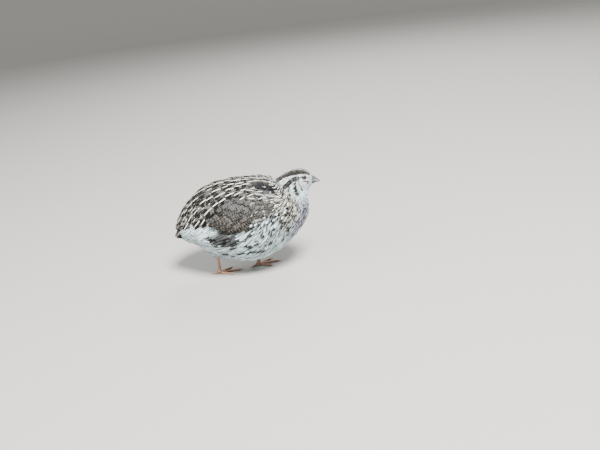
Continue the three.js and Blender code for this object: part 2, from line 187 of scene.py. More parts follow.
def on_body(s, a):
    """Points of the outer surface, in millimetres."""
    held = np.clip(s, 0, LAST)
    back = through(BACK, held)
    under = through(UNDER, held)
    flat = np.array([1, 0, 1])
    centre = (back + under) / 2 * flat
    rise = back * flat - centre
    lift = wing_lift(held, a)
    up = np.cos(a) + back[..., 1] * np.sin(a) ** 2
    point = centre + rise * up[..., None] + unit(rise) * (lift * np.cos(a))[..., None]
    point[..., 1] = (under[..., 1] + lift) * np.sin(a)
    return point


def body(s, a):
    """Point, outward normal, and the surface's steps along s and a."""
    s = np.asarray(s, float)
    a = np.asarray(a, float)
    inner = np.clip(s, END_MARGIN, LAST - END_MARGIN)
    along = (on_body(inner + STEP_S, a) - on_body(inner - STEP_S, a)) / (2 * STEP_S)
    girth = (on_body(inner, a + STEP_A) - on_body(inner, a - STEP_A)) / (2 * STEP_A)
    normal = unit(np.cross(along, girth))
    normal *= np.sign((normal * (on_body(inner, a) - on_body(inner, a + np.pi))).sum(-1, keepdims=True))
    point = on_body(inner, a) + along * (s - inner)[..., None]
    return point, normal, along, girth


def coat_depth(s):
    return table(COAT_DEPTH, s)


def eye_frame(side):
    """Centre of the eye's opening on the surface, and its axes: forward, up and out."""
    point, normal, _, _ = body(EYE["station"], side * math.radians(EYE["angle"]))
    out = Vector(normal)
    slope = math.radians(OPENING["slope"])
    forward = Vector((math.cos(slope), 0, -math.sin(slope)))
    up = out.cross(forward).normalized() * side
    if up.z < 0:
        up = -up
    level = (forward - out * forward.dot(out)).normalized()
    up = (up - level * up.dot(level)).normalized()
    return Vector(point), level, up, out


def opening_distance(points):
    """How far points lie from the nearer eye's middle, in half openings: 1 is the rim."""
    elsewhere = 9.0
    found = np.full(points.shape[:-1], elsewhere)
    for side in (-1, 1):
        centre, forward, up, out = (np.array(v) for v in eye_frame(side))
        away = points - centre
        flat = np.hypot(away @ forward / OPENING["long"], away @ up / OPENING["high"])
        found = np.minimum(found, np.where(np.abs(away @ out) < 4, flat, elsewhere))
    return found


def flow(s, a):
    """Degrees by which a feather's line drifts towards the belly for each station it runs back."""
    deg = degrees(a)
    trunk = 12 * np.sin(np.pi * np.clip(deg / 180, 0, 1) ** 1.1)
    saddle = 1 + 0.7 * band(s, 2, 7, 1) * band(deg, 35, 85, 15)
    shoulder = -4 * band(s, 7.8, 11.5, 0.8) * band(deg, 20, 70, 15)
    on_trunk = 1 - smooth(8, 10.5, s)
    flank = 9 * band(s, 8, 10.5, 1) * band(deg, 80, 130, 12)
    return trunk * saddle * on_trunk + shoulder + flank


# Markings. Each feather has a ground colour and a strength of each of these.
MARKS = ("streak", "blotch", "bars", "flecks")
# Size of the small cubes that break up the patches of the trunk and of the head
TRUNK_GRAIN = 2.4
HEAD_GRAIN = 0.75
FLECK_GRAIN = 1.3
# Where the head's markings take over from the trunk's, in stations
HEAD_START = (11.1, 12.1)

# Regions of the trunk: the stations from and to and how softly they end, and the same in degrees from the back
REGIONS = {
    "breast": ((9.6, 12.0, 0.5), (121, FAR, 13)),
    "neck side": ((9.3, 12.0, 0.4), (35, 122, 12)),
    "vent": ((2.2, 6.2, 0.7), (112, FAR, 10)),
    "upper": ((-FAR, 8.9, 0.7), (-FAR, 82, 6)),
    "mantle": ((7.6, 12.0, 0.5), (-FAR, 54, 8)),
    "slate patch": ((8.2, 10.4, 0.5), (19, 43, 7)),
    "hip": ((4.65, 6.5, 0.35), (82, 112, 6)),
    "snow": ((2.9, 4.9, 0.3), (76, 106, 4)),
    "under tail": ((-FAR, 1.9, 0.7), (110, FAR, 15)),
    "back": ((-FAR, 11.05, 0.55), (-FAR, 81, 5)),
    "flank": ((5.5, 10.2, 0.6), (80, 140, 10)),
    "upper flank": ((7.2, 10.6, 0.4), (80, 100, 6)),
}
# How many degrees lower a region lies by station, where it isn't level
REGION_SLOPE = {"mantle": lambda s: 12 * smooth(9.6, 10.6, s), "slate patch": lambda s: 5 * (s - 9.3)}
# Colours laid over each other: the colour, the region, its share and the least grain at which it shows
GROUNDS = (
    ("lilac white", "breast", 0.9, 0),
    ("sand", "neck side", 0.92, 0),
    ("cream", "neck side", 0.38, 0.72),
    ("sand", "dusty vent", 1, 0),
    ("stone", "upper", 1, 0),
    ("sand", "upper", 0.4, 0.7),
    ("grey", "mantle", 0.85, 0),
    ("sand", "mantle", 0.5, 0.65),
    ("slate", "slate patch", 0.98, 0),
    ("grey", "hip", 0.96, 0),
    ("white", "snow", 1, 0),
    ("buff", "under tail", 0.6, 0),
    ("stone", "upper flank", 0.8, 0.5),
    ("stone", "flank", 0.4, 0.76),
)

# Lines on the head, drawn in side view: corners as x and z in millimetres, and half the width
HEAD_LINES = {
    "brow stripe": (
        (
            (76.8, 104.0), (72.6, 106.9), (68.1, 108.3), (61.8, 107.6), (55.3, 105.8), (50.9, 103.9), (45.8, 101.6),
            (41, 98),
        ),
        1.6,
    ),
    "crown line": (((76.5, 105.8), (68, 112), (58, 112.5), (46, 108.5), (36, 104)), 0.9),
    "lore": (((74.4, 104.0), (71.8, 104.6)), 0.85),
    "eye line": (((68.8, 105.9), (66.9, 106.2)), 0.85),
    "gape stripe": (((76.8, 101.1), (72.3, 102.3), (69.3, 102.5), (66, 103)), 0.7),
    "whisker": (((69.0, 101.4), (72.1, 100.6), (74.0, 99.9), (72.5, 97.5)), 0.8),
    "ear patch": (
        ((63.0, 105.5), (61.4, 105.3), (58.3, 104.8), (54.6, 102.3), (51.2, 100.1), (48.1, 98.4), (44.6, 96.6)),
        2.4,
    ),
    "ear streak": (((60.4, 104.4), (59.5, 100.2), (59.4, 95.4), (60.2, 91.5), (61.8, 88.6)), 1.9),
    "cheek streak": (((63.8, 103.4), (64.8, 98.2), (65.7, 94.2), (66.5, 90.8)), 0.9),
    "neck streak": (((53.6, 99.2), (52.4, 94), (53, 88)), 1.3),
    "chin spot": (((73.4, 98.2), (71.6, 96.8)), 0.6),
}
# Lines that are dark, how dark, and how soft their edge is
DARK_LINES = (
    ("eye line", 0.95, 0.4),
    ("whisker", 0.95, 0.4),
    ("ear patch", 1.0, 0.6),
    ("ear streak", 0.95, 0.6),
    ("cheek streak", 0.95, 0.5),
    ("neck streak", 0.9, 0.9),
    ("chin spot", 0.8, 0.5),
)
# Lower edge of the dark crown, as x and z in side view
HOOD_EDGE = (
    (36, 99), (42, 102.4), (47, 105.5), (53.6, 107.4), (58.5, 108.0), (61.5, 108.4), (67, 109.2), (72.5, 107.7),
    (76.8, 104.8),
)


def line_cover(name, points, soft=0.45):
    """How far points are covered by one of the head's lines, 0 to 1."""
    corners, half = HEAD_LINES[name]
    flat = points[..., [0, 2]]
    nearest = np.full(flat.shape[:-1], FAR)
    for start, end in zip(corners, corners[1:]):
        start = np.array(start, float)
        way = np.array(end, float) - start
        share = np.clip(((flat - start) @ way) / (way @ way), 0, 1)
        nearest = np.minimum(nearest, norm(flat - start - share[..., None] * way))
    return 1 - smooth(half - soft, half + soft, nearest)


def mix(base, colour, share):
    return base + (COLOUR[colour] - base) * np.asarray(share)[..., None]


def plain(colour, shape):
    """One colour for every place of an array."""
    return np.broadcast_to(COLOUR[colour], (*shape, 3))


def cells(points, grain):
    """A steady random number, 0 to 1, for the small cube of space that each place lies in."""
    total = np.floor(points / grain) @ np.array([12.9898, 78.233, 37.719])
    return np.modf(np.abs(np.sin(total) * 43758.5453))[0]


def strongest(*shares):
    return np.maximum.reduce(shares)


def trunk_markings(s, deg, grain):
    """Ground colour and marks of the trunk. grain is the noise that breaks its patches up."""
    on = {}
    for name, (stations, angles) in REGIONS.items():
        lower = REGION_SLOPE[name](s) if name in REGION_SLOPE else 0
        on[name] = band(s, *stations) * band(deg - lower, *angles)
    on["slate patch"] = smooth(0.25, 0.6, on["slate patch"] - 0.35 * grain)
    on["hip"] = smooth(0.25, 0.5, on["hip"] - 0.5 * (grain > 0.52))
    on["dusty vent"] = on["vent"] * (0.08 + 0.28 * grain)
    ground = plain("blue white", s.shape)
    for colour, name, share, least in GROUNDS:
        ground = mix(ground, colour, share * on[name] * (grain >= least))
    back = on["back"] * (1 - 0.95 * on["slate patch"])
    dry = 1 - on["snow"]
    streak = np.maximum(back, 0.5 * on["neck side"])
    blotch = strongest(
        back * (1 - 0.35 * on["mantle"]), 0.32 * on["flank"] * dry, 0.7 * on["upper flank"],
        0.86 * on["neck side"], 0.8 * on["breast"], 0.4 * on["hip"],
    )
    bars = 0.8 * np.maximum(back, on["mantle"] * (1 - on["slate patch"]))
    flecks = strongest(0.6 * on["neck side"], 0.5 * on["breast"], 0.18 * on["vent"] * dry, 0.6 * on["hip"])
    return ground, (streak, blotch, bars, flecks)


def head_markings(points):
    """Ground colour and marks of the head."""
    x, y, z = (points[..., k] for k in range(3))
    across = np.abs(y)
    grain = cells(points, HEAD_GRAIN)
    throat = smooth(98, 92, z)
    hood = smooth(-0.45, 0.45, z - table(HOOD_EDGE, x) + 0.7 * (grain - 0.5))
    side_line = band(across, 3.0, 4.0, 0.3) * band(x, 44, 72, 2) * (grain > 0.3)
    parting = np.maximum(line_cover("crown line", points) * (1 - smooth(0.5, 1.2, across)), 0.4 * hood * side_line)
    dark = strongest(*(depth * line_cover(name, points, soft) for name, depth, soft in DARK_LINES))
    dark = smooth(0.25, 0.55, dark * smooth(2.5, 5, across) - 0.62 * grain)
    ground = plain("face white", x.shape)
    for colour, share in (
        ("blue white", throat),
        ("grey brown", hood),
        ("stone", 0.8 * hood * (grain > 0.66)),
        ("cream", 0.75 * parting),
        ("face white", line_cover("brow stripe", points) * (1 - hood)),
        ("pink brown", 0.75 * line_cover("lore", points)),
        ("face white", line_cover("gape stripe", points)),
        ("dark brown", 0.97 * dark),
        ("stone", 0.8 * dark * band(cells(points, FLECK_GRAIN), 0.3, 0.45, 0.05)),
        ("sand", 0.5 * throat * (grain > 0.82) * band(x, 40, 66, 4)),
    ):
        ground = mix(ground, colour, share)
    centre = 0.9 * np.maximum(hood * (1 - parting), dark)
    return ground, (0, centre, 0, np.maximum(0.12 * throat, 0.3 * dark))


def markings(s, a, points):
    """Everything that the skin and the feathers are coloured by, at places of the body."""
    trunk_ground, trunk = trunk_markings(s, degrees(a), cells(points, TRUNK_GRAIN))
    head_ground, head = head_markings(points)
    share = smooth(*HEAD_START, s)
    marks = {key: low + (high - low) * share for key, low, high in zip(MARKS, trunk, head)}
    marks["ground"] = trunk_ground + (head_ground - trunk_ground) * share[..., None]
    return marks


def even_marks(ground, strengths):
    """Marks for feathers that all bear the same ones, each on its own ground."""
    return {"ground": ground, **{key: np.full(len(ground), float(x)) for key, x in zip(MARKS, strengths)}}


def stacked(marks):
    return np.stack([marks[key] for key in MARKS], 1)

# Feathers. A vane is a thin closed sheet of rows along its shaft and columns across it.
class Cut:
    """The outline of one sort of feather."""

    def __init__(self, rows, across, thick, tip, fray, root=0.3, widest=0.55, camber=0.06, sweep=0.5):
        self.rows = rows
        self.across = np.array(across)
        self.thick = thick
        self.camber = camber
        self.fray = fray
        self.sweep = sweep
        self.along = np.linspace(0, 1, rows) ** 0.8
        grown = root + (1 - root) * np.sin(np.minimum(self.along / widest, 1) * np.pi / 2)
        past = np.clip((self.along - widest) / (1 - widest), 0, 1)
        self.width = grown * np.sqrt(np.maximum(1 - past ** 2.2, tip ** 2))

    def spread(self, half, rng):
        """How far each corner lies across the shaft line and ahead of its row, with a worn edge."""
        shape = (len(half), self.rows, len(self.across))
        edge = np.abs(self.across)
        teeth = np.where(np.arange(self.rows) % 2, 1.0, -1.0)[:, None] * edge ** 2
        wide = 1 + self.fray * (teeth + rng.uniform(-0.7, 0.7, shape))
        ahead = self.sweep * edge + self.fray * rng.uniform(-1, 1, shape)
        ahead[:, -1] -= np.where(np.arange(len(self.across)) % 2, 3, 0.5) * self.fray + self.sweep * edge
        half = half[:, None, None]
        return self.width[:, None] * half * self.across * wide, ahead * half

    def sag(self, half):
        """How far each column hangs below the shaft."""
        return self.camber * half[:, None, None] * self.across ** 2


NARROW = (-1, 0, 1)
PLAIN = (-1, -0.5, 0, 0.5, 1)
STREAKED = (-1, -0.55, -0.16, 0, 0.16, 0.55, 1)
FACE = Cut(5, NARROW, thick=0.06, tip=0.14, fray=0.2, root=0.5, widest=0.45, camber=0.1)
SOFT = Cut(7, NARROW, thick=0.1, tip=0.14, fray=0.2, root=0.5, widest=0.5, camber=0.1, sweep=0.6)
CONTOUR = Cut(7, PLAIN, thick=0.12, tip=0.3, fray=0.13, root=0.35)
LANCE = Cut(9, STREAKED, thick=0.18, tip=0.26, fray=0.07)
LONG = Cut(10, PLAIN, thick=0.14, tip=0.26, fray=0.1, root=0.4, widest=0.62)
DOWN = Cut(7, NARROW, thick=0.12, tip=0.2, fray=0.24, root=0.5, widest=0.4, sweep=0.7)
FLIGHT = Cut(14, STREAKED, thick=0.26, tip=0.3, fray=0.025, root=0.55, widest=0.72, camber=0.07)


def run_back(s, a, length, turn, rows):
    """Shaft lines that follow the lie of the coat, as stations and angles, from roots at s and a."""
    side = np.where(a < 0, -1.0, 1.0)
    line_s, line_a = [s], [a]
    for step in np.diff(rows):
        _, _, along, girth = body(line_s[-1], line_a[-1])
        size_s = norm(along)
        size_a = norm(girth)
        way = np.arctan(np.radians(flow(line_s[-1], line_a[-1])) * size_a / size_s) + turn
        line_s.append(line_s[-1] - np.cos(way) * step * length / size_s)
        line_a.append(line_a[-1] + side * np.sin(way) * step * length / np.maximum(size_a, LEAST_GIRTH))
    return np.stack(line_s, 1), np.stack(line_a, 1)


def lay(line_s, line_a, half, cut, root_depth, tip_height, tilt, rng):
    """Grids of points, and of the ways out, of feathers laid on the body along their shaft lines."""
    _, _, along, girth = body(line_s, line_a)
    size_s = norm(along)
    size_a = np.maximum(norm(girth), LEAST_GIRTH)
    slope_s = np.gradient(line_s, axis=1) * size_s
    slope_a = np.gradient(line_a, axis=1) * size_a
    run = np.maximum(np.hypot(slope_s, slope_a), 1e-6)
    way_s = (slope_s / run)[..., None]
    way_a = (slope_a / run)[..., None]
    out, on = cut.spread(half, rng)
    s = line_s[..., None] + (way_a * out + way_s * on) / size_s[..., None]
    a = line_a[..., None] + (way_a * on - way_s * out) / size_a[..., None]
    point, normal, _, _ = body(s, a)
    rise = np.sin(np.minimum(cut.along * 1.25, 1) * np.pi / 2) ** 0.8
    height = -root_depth[:, None] + (root_depth + tip_height)[:, None] * rise
    height = height[..., None] - cut.sag(half) + tilt[:, None, None] * out
    return point + normal * height[..., None], normal


def fan_out(root, tip, normal, half, cut, bow, rng):
    """The same grids for stiff feathers that run straight from root to tip."""
    v = cut.along[None, :, None]
    way = unit(tip - root)
    across = unit(np.cross(way, normal))
    up = np.cross(across, way)
    bend = bow * np.sin(np.pi * v) * norm(tip - root)[:, None, None]
    line = root[:, None] + (tip - root)[:, None] * v + up[:, None] * bend
    out, on = cut.spread(half, rng)
    way, across, up = (vectors[:, None, None] for vectors in (way, across, up))
    point = line[:, :, None] + across * out[..., None] + way * on[..., None] - up * cut.sag(half)[..., None]
    return point, np.broadcast_to(up, point.shape)


def link(name, data):
    """A new object of the scene."""
    thing = bpy.data.objects.new(name, data)
    bpy.context.scene.collection.objects.link(thing)
    return thing


def settle(piece, slot, *nodes):
    """Lets a piece ride on the model and hides the nodes that it stands for; slot is not used."""
    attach(piece, "root")
    if nodes:
        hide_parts(*nodes)


def fill(mesh, verts, loops):
    """Puts four-cornered faces into an empty mesh."""
    mesh.vertices.add(len(verts))
    mesh.vertices.foreach_set("co", verts.astype(np.float32).ravel())
    mesh.loops.add(len(loops))
    mesh.loops.foreach_set("vertex_index", loops.astype(np.int32))
    mesh.polygons.add(len(loops) // 4)
    mesh.polygons.foreach_set("loop_start", np.arange(0, len(loops), 4, dtype=np.int32))
    mesh.update(calc_edges=True)
    mesh.polygons.foreach_set("use_smooth", np.ones(len(mesh.polygons), bool))


def paint(mesh, name, values):
    """A colour attribute of four values for each vertex."""
    layer = mesh.color_attributes.new(name, "FLOAT_COLOR", "POINT")
    layer.data.foreach_set("color", values.astype(np.float32).ravel())


def unwrapped(s, a):
    """Place of a station and an angle on the skin's own unwrap."""
    return np.stack([0.02 + 0.96 * np.clip(s / LAST, 0, 1), 0.5 + 0.48 * np.clip(a / np.pi, -1, 1)], -1)


def quads(grid):
    """The four-cornered faces of a grid of vertex numbers."""
    corners = (grid[:-1, :-1], grid[1:, :-1], grid[1:, 1:], grid[:-1, 1:])
    return np.stack([c.ravel() for c in corners], 1)


class Coat:
    """Gathers feathers and joins them into one mesh. seed may be a generator that several coats share."""

    # Size of one feather on the skin's unwrap
    patch = 0.003

    def __init__(self, name, seed):
        self.name = name
        self.rng = np.random.default_rng(seed)
        self.parts = []

    def add(self, cut, grids, marks, s, a, chance=(0, 1)):
        """Feathers of one cut, rooted at s and a. chance is the range of the random number of each feather."""
        point, normal = grids
        number, rows, columns = point.shape[:3]
        under = point - normal * cut.thick * np.linspace(1, 0.5, rows)[:, None, None]
        top = np.arange(rows * columns).reshape(rows, columns)
        low = top.copy()
        low[1:-1, 1:-1] = rows * columns + np.arange((rows - 2) * (columns - 2)).reshape(rows - 2, columns - 2)
        verts = np.concatenate([point.reshape(number, -1, 3), under[:, 1:-1, 1:-1].reshape(number, -1, 3)], 1)
        faces = np.concatenate([quads(top), quads(low)[:, ::-1]])
        vane = np.stack(np.broadcast_arrays((cut.across + 1) / 2, cut.along[:, None]), -1)
        vane = np.concatenate([vane.reshape(-1, 2), vane[1:-1, 1:-1].reshape(-1, 2)])
        ground = np.hstack([marks["ground"], self.rng.uniform(*chance, (number, 1))])
        self.parts.append((verts, faces, vane, unwrapped(s, a), ground, stacked(marks)))

    def build(self, slot, material):
        """The mesh of all feathers, with their places on the unwrap and on their own vanes."""
        found = {key: [] for key in ("verts", "loops", "vane", "OFBake", "ground", "marks")}
        start = 0
        for verts, faces, vane, place, ground, marks in self.parts:
            number, each = verts.shape[:2]
            found["verts"].append(verts.reshape(-1, 3))
            offsets = start + np.arange(number) * each
            found["loops"].append((faces[None] + offsets[:, None, None]).reshape(-1))
            found["vane"].append(np.tile(vane, (number, 1)))
            found["OFBake"].append((place[:, None] + (vane - 0.5)[None] * self.patch).reshape(-1, 2))
            found["ground"].append(np.repeat(ground, each, 0))
            found["marks"].append(np.repeat(marks, each, 0))
            start += number * each
        found = {key: np.concatenate(values) for key, values in found.items()}
        mesh = bpy.data.meshes.new(self.name)
        fill(mesh, found["verts"] * MM, found["loops"])
        for name in ("OFBake", "vane"):
            layer = mesh.uv_layers.new(name=name)
            layer.uv.foreach_set("vector", found[name][found["loops"]].astype(np.float32).ravel())
        mesh.uv_layers.active = mesh.uv_layers["OFBake"]
        for name in ("ground", "marks"):
            paint(mesh, name, found[name])
        mesh.materials.append(material)
        settle(link(self.name, mesh), slot)


def anywhere(s, a):
    return np.full(len(s), True)


def under_wing(s, a):
    """True well inside the folded wing, where other feathers lie over the coat."""
    return (wing_lift(s, a) > 1.6) & (s > 5.2)


def off_wing(s, a):
    return ~under_wing(s, a)


def clear_of_eye(s, a):
    """True for roots whose feather passes clear of the eye's opening."""
    line_s, line_a = run_back(s, a, table(FEATHER_LENGTH, s), np.zeros(len(s)), np.linspace(0, 1, 5))
    point, _, _, _ = body(line_s, line_a)
    return opening_distance(point).min(1) > 1.06


def scatter(rng, spacing, stations, angles, tries, keep=anywhere):
    """Roots set at random over a range of stations and angles in degrees, but not closer than spacing.

    spacing is a share of the feathers' length, and the least distance in millimetres.
    """
    s = rng.uniform(*stations, tries)
    a = np.radians(rng.uniform(*angles, tries)) * rng.choice((-1, 1), tries)
    point, _, along, girth = body(s, a)
    gap = np.maximum(table(FEATHER_LENGTH, s) * spacing[0], spacing[1])
    weight = norm(np.cross(along, girth)) / gap ** 2
    order = rng.permutation(tries)
    wanted = rng.uniform(0, np.quantile(weight, 0.98), tries) < weight
    order = order[wanted[order] & keep(s, a)[order]]
    homes = np.floor(point / gap[order].max()).astype(int)
    beside = [(dx, dy, dz) for dx in (-1, 0, 1) for dy in (-1, 0, 1) for dz in (-1, 0, 1)]
    grid = {}
    chosen = []
    for i in order:
        x, y, z = homes[i]
        near = (point[j] for dx, dy, dz in beside for j in grid.get((x + dx, y + dy, z + dz), ()))
        if all(((point[i] - other) ** 2).sum() > gap[i] ** 2 for other in near):
            grid.setdefault((x, y, z), []).append(i)
            chosen.append(i)
    chosen = np.array(chosen)
    return s[chosen], a[chosen]


def marks_of(line_s, line_a, row):
    """Markings of the places that the feathers' shaft lines reach at a row."""
    s, a = line_s[:, row], line_a[:, row]
    return markings(s, a, on_body(s, a))


def contour(coat, s, a, cut, scale=1.0, slim=0.2, raised=0.0, seen=0.8):
    """Adds contour feathers with roots at s and a, sized by where they grow and marked as their place at seen."""
    rng = coat.rng
    number = len(s)
    length = table(FEATHER_LENGTH, s) * scale * SIZES["feather_length"] * rng.uniform(0.88, 1.14, number)
    half = length * slim * SIZES["feather_width"] * rng.uniform(0.9, 1.1, number)
    line_s, line_a = run_back(s, a, length, rng.normal(0, 0.09, number), cut.along)
    depth = coat_depth(s)
    tip = raised - 0.12 * depth + rng.uniform(-0.12, 0.12, number) * depth
    tilt = rng.uniform(-0.05, 0.05, number)
    grids = lay(line_s, line_a, half, cut, depth + 0.15, tip, tilt, rng)
    coat.add(cut, grids, marks_of(line_s, line_a, round(seen * (cut.rows - 1))), s, a)


def singles(coat, lines, half, cut, lie, marks):
    """Adds single feathers on both sides of the body. Each line is the station and degrees of its root and tip."""
    rng = coat.rng
    count = len(lines)
    v = cut.along[None, :]
    for side in (-1, 1):
        ends = np.array(lines, float) + rng.normal(0, 0.04, (count, 4)) * (1, 8, 1, 8) * 0.5
        line_s = ends[:, :1] + (ends[:, 2:3] - ends[:, :1]) * v
        line_a = side * np.radians(ends[:, 1:2] + (ends[:, 3:4] - ends[:, 1:2]) * v)
        tip = lie + rng.uniform(-0.1, 0.2, count)
        tilt = rng.uniform(-0.02, 0.02, count)
        grids = lay(line_s, line_a, np.full(count, half), cut, coat_depth(line_s[:, 0]), tip, tilt, rng)
        own = marks_of(line_s, line_a, cut.rows - 2)
        own.update({key: np.broadcast_to(value, own[key].shape) for key, value in marks.items()})
        coat.add(cut, grids, own, line_s[:, 0], line_a[:, 0], (0.3, 0.95))

# Materials
class Value:
    """A node's output, which can be reckoned with."""

    def __init__(self, nodes, socket):
        self.nodes = nodes
        self.socket = socket

    def __add__(self, other):
        return self.nodes.math("ADD", self, other)

    def __sub__(self, other):
        return self.nodes.math("SUBTRACT", self, other)

    def __rsub__(self, other):
        return self.nodes.math("SUBTRACT", other, self)

    def __mul__(self, other):
        return self.nodes.math("MULTIPLY", self, other)

    def __abs__(self):
        return self.nodes.math("ABSOLUTE", self)


class Nodes:
    """Adds and joins the nodes of one tree."""

    def __init__(self, tree):
        self.tree = tree

    def put(self, socket, value):
        if isinstance(value, Value):
            self.tree.links.new(value.socket, socket)
        else:
            socket.default_value = (*value, 1.0) if socket.type == "RGBA" else value

    def new(self, kind, values=(), **settings):
        """A node with values for its inputs, by name or number, and its outputs."""
        node = self.tree.nodes.new(kind if kind.startswith("Node") else "ShaderNode" + kind)
        for name, value in settings.items():
            setattr(node, name, value)
        for key, value in dict(values).items():
            self.put(node.inputs[key], value)
        return node, {output.name: Value(self, output) for output in node.outputs if output.enabled}

    def math(self, operation, *values, clamp=False):
        return self.new("Math", enumerate(values), operation=operation, use_clamp=clamp)[1]["Value"]

    def share_of(self, value, times):
        """A random number, 0 to 1, that follows from another."""
        return self.math("FRACT", value * times)

    def step(self, value, low, high):
        """0 below low and 1 above high, with a soft edge."""
        values = {"Value": value, "From Min": low, "From Max": high}
        return self.new("MapRange", values, interpolation_type="SMOOTHSTEP")[1]["Result"]

    def mix(self, share, first, second, blend="MIX"):
        node, _ = self.new("Mix", data_type="RGBA", blend_type=blend)
        for index, given in ((0, share), (6, first), (7, second)):
            self.put(node.inputs[index], given)
        return Value(self, node.outputs[2])

    def shade(self, colour, tone):
        return self.mix(1.0, colour, tone, "MULTIPLY")

    def noise(self, vector, scale, detail=2.0, roughness=0.5):
        values = {"Vector": vector, "Scale": scale, "Detail": detail, "Roughness": roughness}
        return self.new("TexNoise", values)[1]["Fac"]

    def stretch(self, vector, scale):
        return self.new("Mapping", {"Vector": vector, "Scale": scale})[1]["Vector"]

    def split(self, vector):
        return self.new("SeparateXYZ", {0: vector})[1].values()

    def place(self):
        return self.new("TexCoord")[1]["Object"]

    def attribute(self, name, output="Fac"):
        return self.new("Attribute", attribute_name=name)[1][output]


VANE_GROUP = "vane pattern"
VANE_INPUTS = {
    "Streak width": 0.14,
    "Blotch inner": 0.14,
    "Blotch outer": 0.85,
    "Blotch start": 0.58,
    "Blotch end": 0.8,
    "Blotch depth": 0.95,
    "Blotch taper": 0.05,
    "Edge": 0.3,
    # Rim: how strong the painted shade is along a feather's edge, between it and its neighbours
    "Rim": 0.0,
    "Bar count": 9.0,
    "Bar slant": -3.0,
    "Barb count": 34.0,
}


def vane_pattern():
    """Node group: the marks of one feather, drawn across and along its own vane."""
    if VANE_GROUP in bpy.data.node_groups:
        return bpy.data.node_groups[VANE_GROUP]
    group = bpy.data.node_groups.new(VANE_GROUP, "ShaderNodeTree")

    def socket(title, way, kind):
        return group.interface.new_socket(title, in_out=way, socket_type="NodeSocket" + kind)

    socket("Vane", "INPUT", "Vector")
    for title in ("Ground", "Marks"):
        socket(title, "INPUT", "Color")
    for title in ("Flecks", "Chance"):
        socket(title, "INPUT", "Float")
    for title, value in VANE_INPUTS.items():
        socket(title, "INPUT", "Float").default_value = value
    socket("Color", "OUTPUT", "Color")
    socket("Height", "OUTPUT", "Float")
    n = Nodes(group)
    _, given = n.new("NodeGroupInput")
    ground = given["Ground"]
    chance = given["Chance"]
    x, v, _ = n.split(given["Vane"])
    u = x * 2.0 - 1.0
    off = abs(u)
    streak_on, blotch_on, bars_on = n.split(given["Marks"])
    place = n.place()
    wobble = n.noise(place, 420.0, 2.0, 0.6) * 0.24 - 0.12
    v_rough = v + wobble * 0.7
    off_rough = off + wobble

    # Barbs slant from the shaft to the edge
    values = {"X": (v - off * 0.16) * given["Barb count"], "Y": off, "Z": chance * 97.0}
    strand = n.new("CombineXYZ", values)[1]["Vector"]
    barb = n.step(n.noise(strand, 1.0, 3.0, 0.65), 0.36, 0.64)

    # Overall tone of the feather, darker towards its root with painted shade where other feathers hide it
    patchy = n.step(n.noise(place, 170.0, 3.0, 0.6), 0.3, 0.62)
    tone = (chance * 0.34 + 0.84) * (n.step(v, 0.25, 0.8) * 0.4 + 0.6) * (patchy * 0.3 + 0.74)
    colour = n.shade(ground, tone)
    pale = n.mix(0.14, ground, PALETTE["cream"])

    # Thin wavy bars
    wave = n.math("SINE", given["Bar count"] * 6.283 * v_rough + off * given["Bar slant"])
    bar = n.step(wave, 0.1, 0.6) * bars_on * n.step(off, 0.1, 0.3)
    colour = n.mix(bar * 0.8, colour, PALETTE["dark brown"])
    colour = n.mix(n.step(wave, -0.35, -0.9) * bars_on * 0.6, colour, pale)

    # Dark blotches beside the shaft, on most feathers
    inner, outer, taper = (given["Blotch " + word] for word in ("inner", "outer", "taper"))
    across = (1.0 - n.step(off_rough, outer - 0.12, outer)) * n.step(off_rough, inner - 0.05, inner + 0.03)
    shift = (n.share_of(chance, 3.7) - 0.5) * (u * 0.06) + v_rough
    start = n.step(shift - off * taper, given["Blotch start"] - 0.03, given["Blotch start"] + 0.02)
    end = n.step(shift + off * off * taper, given["Blotch end"] - 0.03, given["Blotch end"] + 0.02)
    blotch = across * start * (1.0 - end) * n.step(chance + blotch_on, 1.0, 1.08)
    colour = n.mix(blotch * given["Blotch depth"], colour, PALETTE["ink"])

    # A small dark fleck near the tip
    wide = (u - (chance * 0.8 - 0.4)) * 2.6
    long = (v_rough - 0.84) * 9.0
    fleck = 1.0 - n.step(wide * wide + long * long, 0.55, 1.0)
    fleck = fleck * n.step(n.share_of(chance, 7.31) + given["Flecks"], 1.0, 1.08)
    colour = n.mix(fleck * 0.85, colour, PALETTE["dark brown"])

    # Cream streak along the shaft
    width = given["Streak width"] * (n.step(v, 0.4, 0.8) * 0.45 + 0.65 - n.step(v, 0.86, 1.0) * 0.6)
    streak = (1.0 - n.step(off, width * 0.7, width)) * n.step(n.share_of(chance, 5.17) + streak_on, 1.0, 1.06)
    colour = n.mix(streak * n.step(v, 0.1, 0.25), colour, PALETTE["cream"])

    # Pale worn edge, painted shade along the rim for the gaps between feathers, and painted shading between the barbs
    colour = n.mix(n.step(off, 0.72, 1.0) * given["Edge"], colour, pale)
    colour = n.mix(n.step(off_rough, 0.62, 0.95) * given["Rim"], colour, PALETTE["grey brown"])
    colour = n.shade(colour, barb * n.step(off, 0.0, 0.5) * 0.26 + 0.82)
    n.new("NodeGroupOutput", {"Color": colour, "Height": barb * 0.6 + 1.0 - n.step(off, 0.02, 0.09)})
    return group


class Look(Nodes):
    """A material's nodes, round its shader."""

    def __init__(self, name):
        self.material = bpy.data.materials.new(name)
        self.material.use_nodes = True
        super().__init__(self.material.node_tree)

    def finish(self, values, bump=None):
        """Sets the shader's inputs. bump is a height, its strength and its depth in millimetres."""
        shader = self.tree.nodes["Principled BSDF"]
        for name, value in values.items():
            self.put(shader.inputs[name], value)
        if bump:
            height, strength, depth = bump
            values = {"Height": height, "Strength": strength, "Distance": depth * MM}
            self.put(shader.inputs["Normal"], self.new("Bump", values)[1]["Normal"])
        return self.material


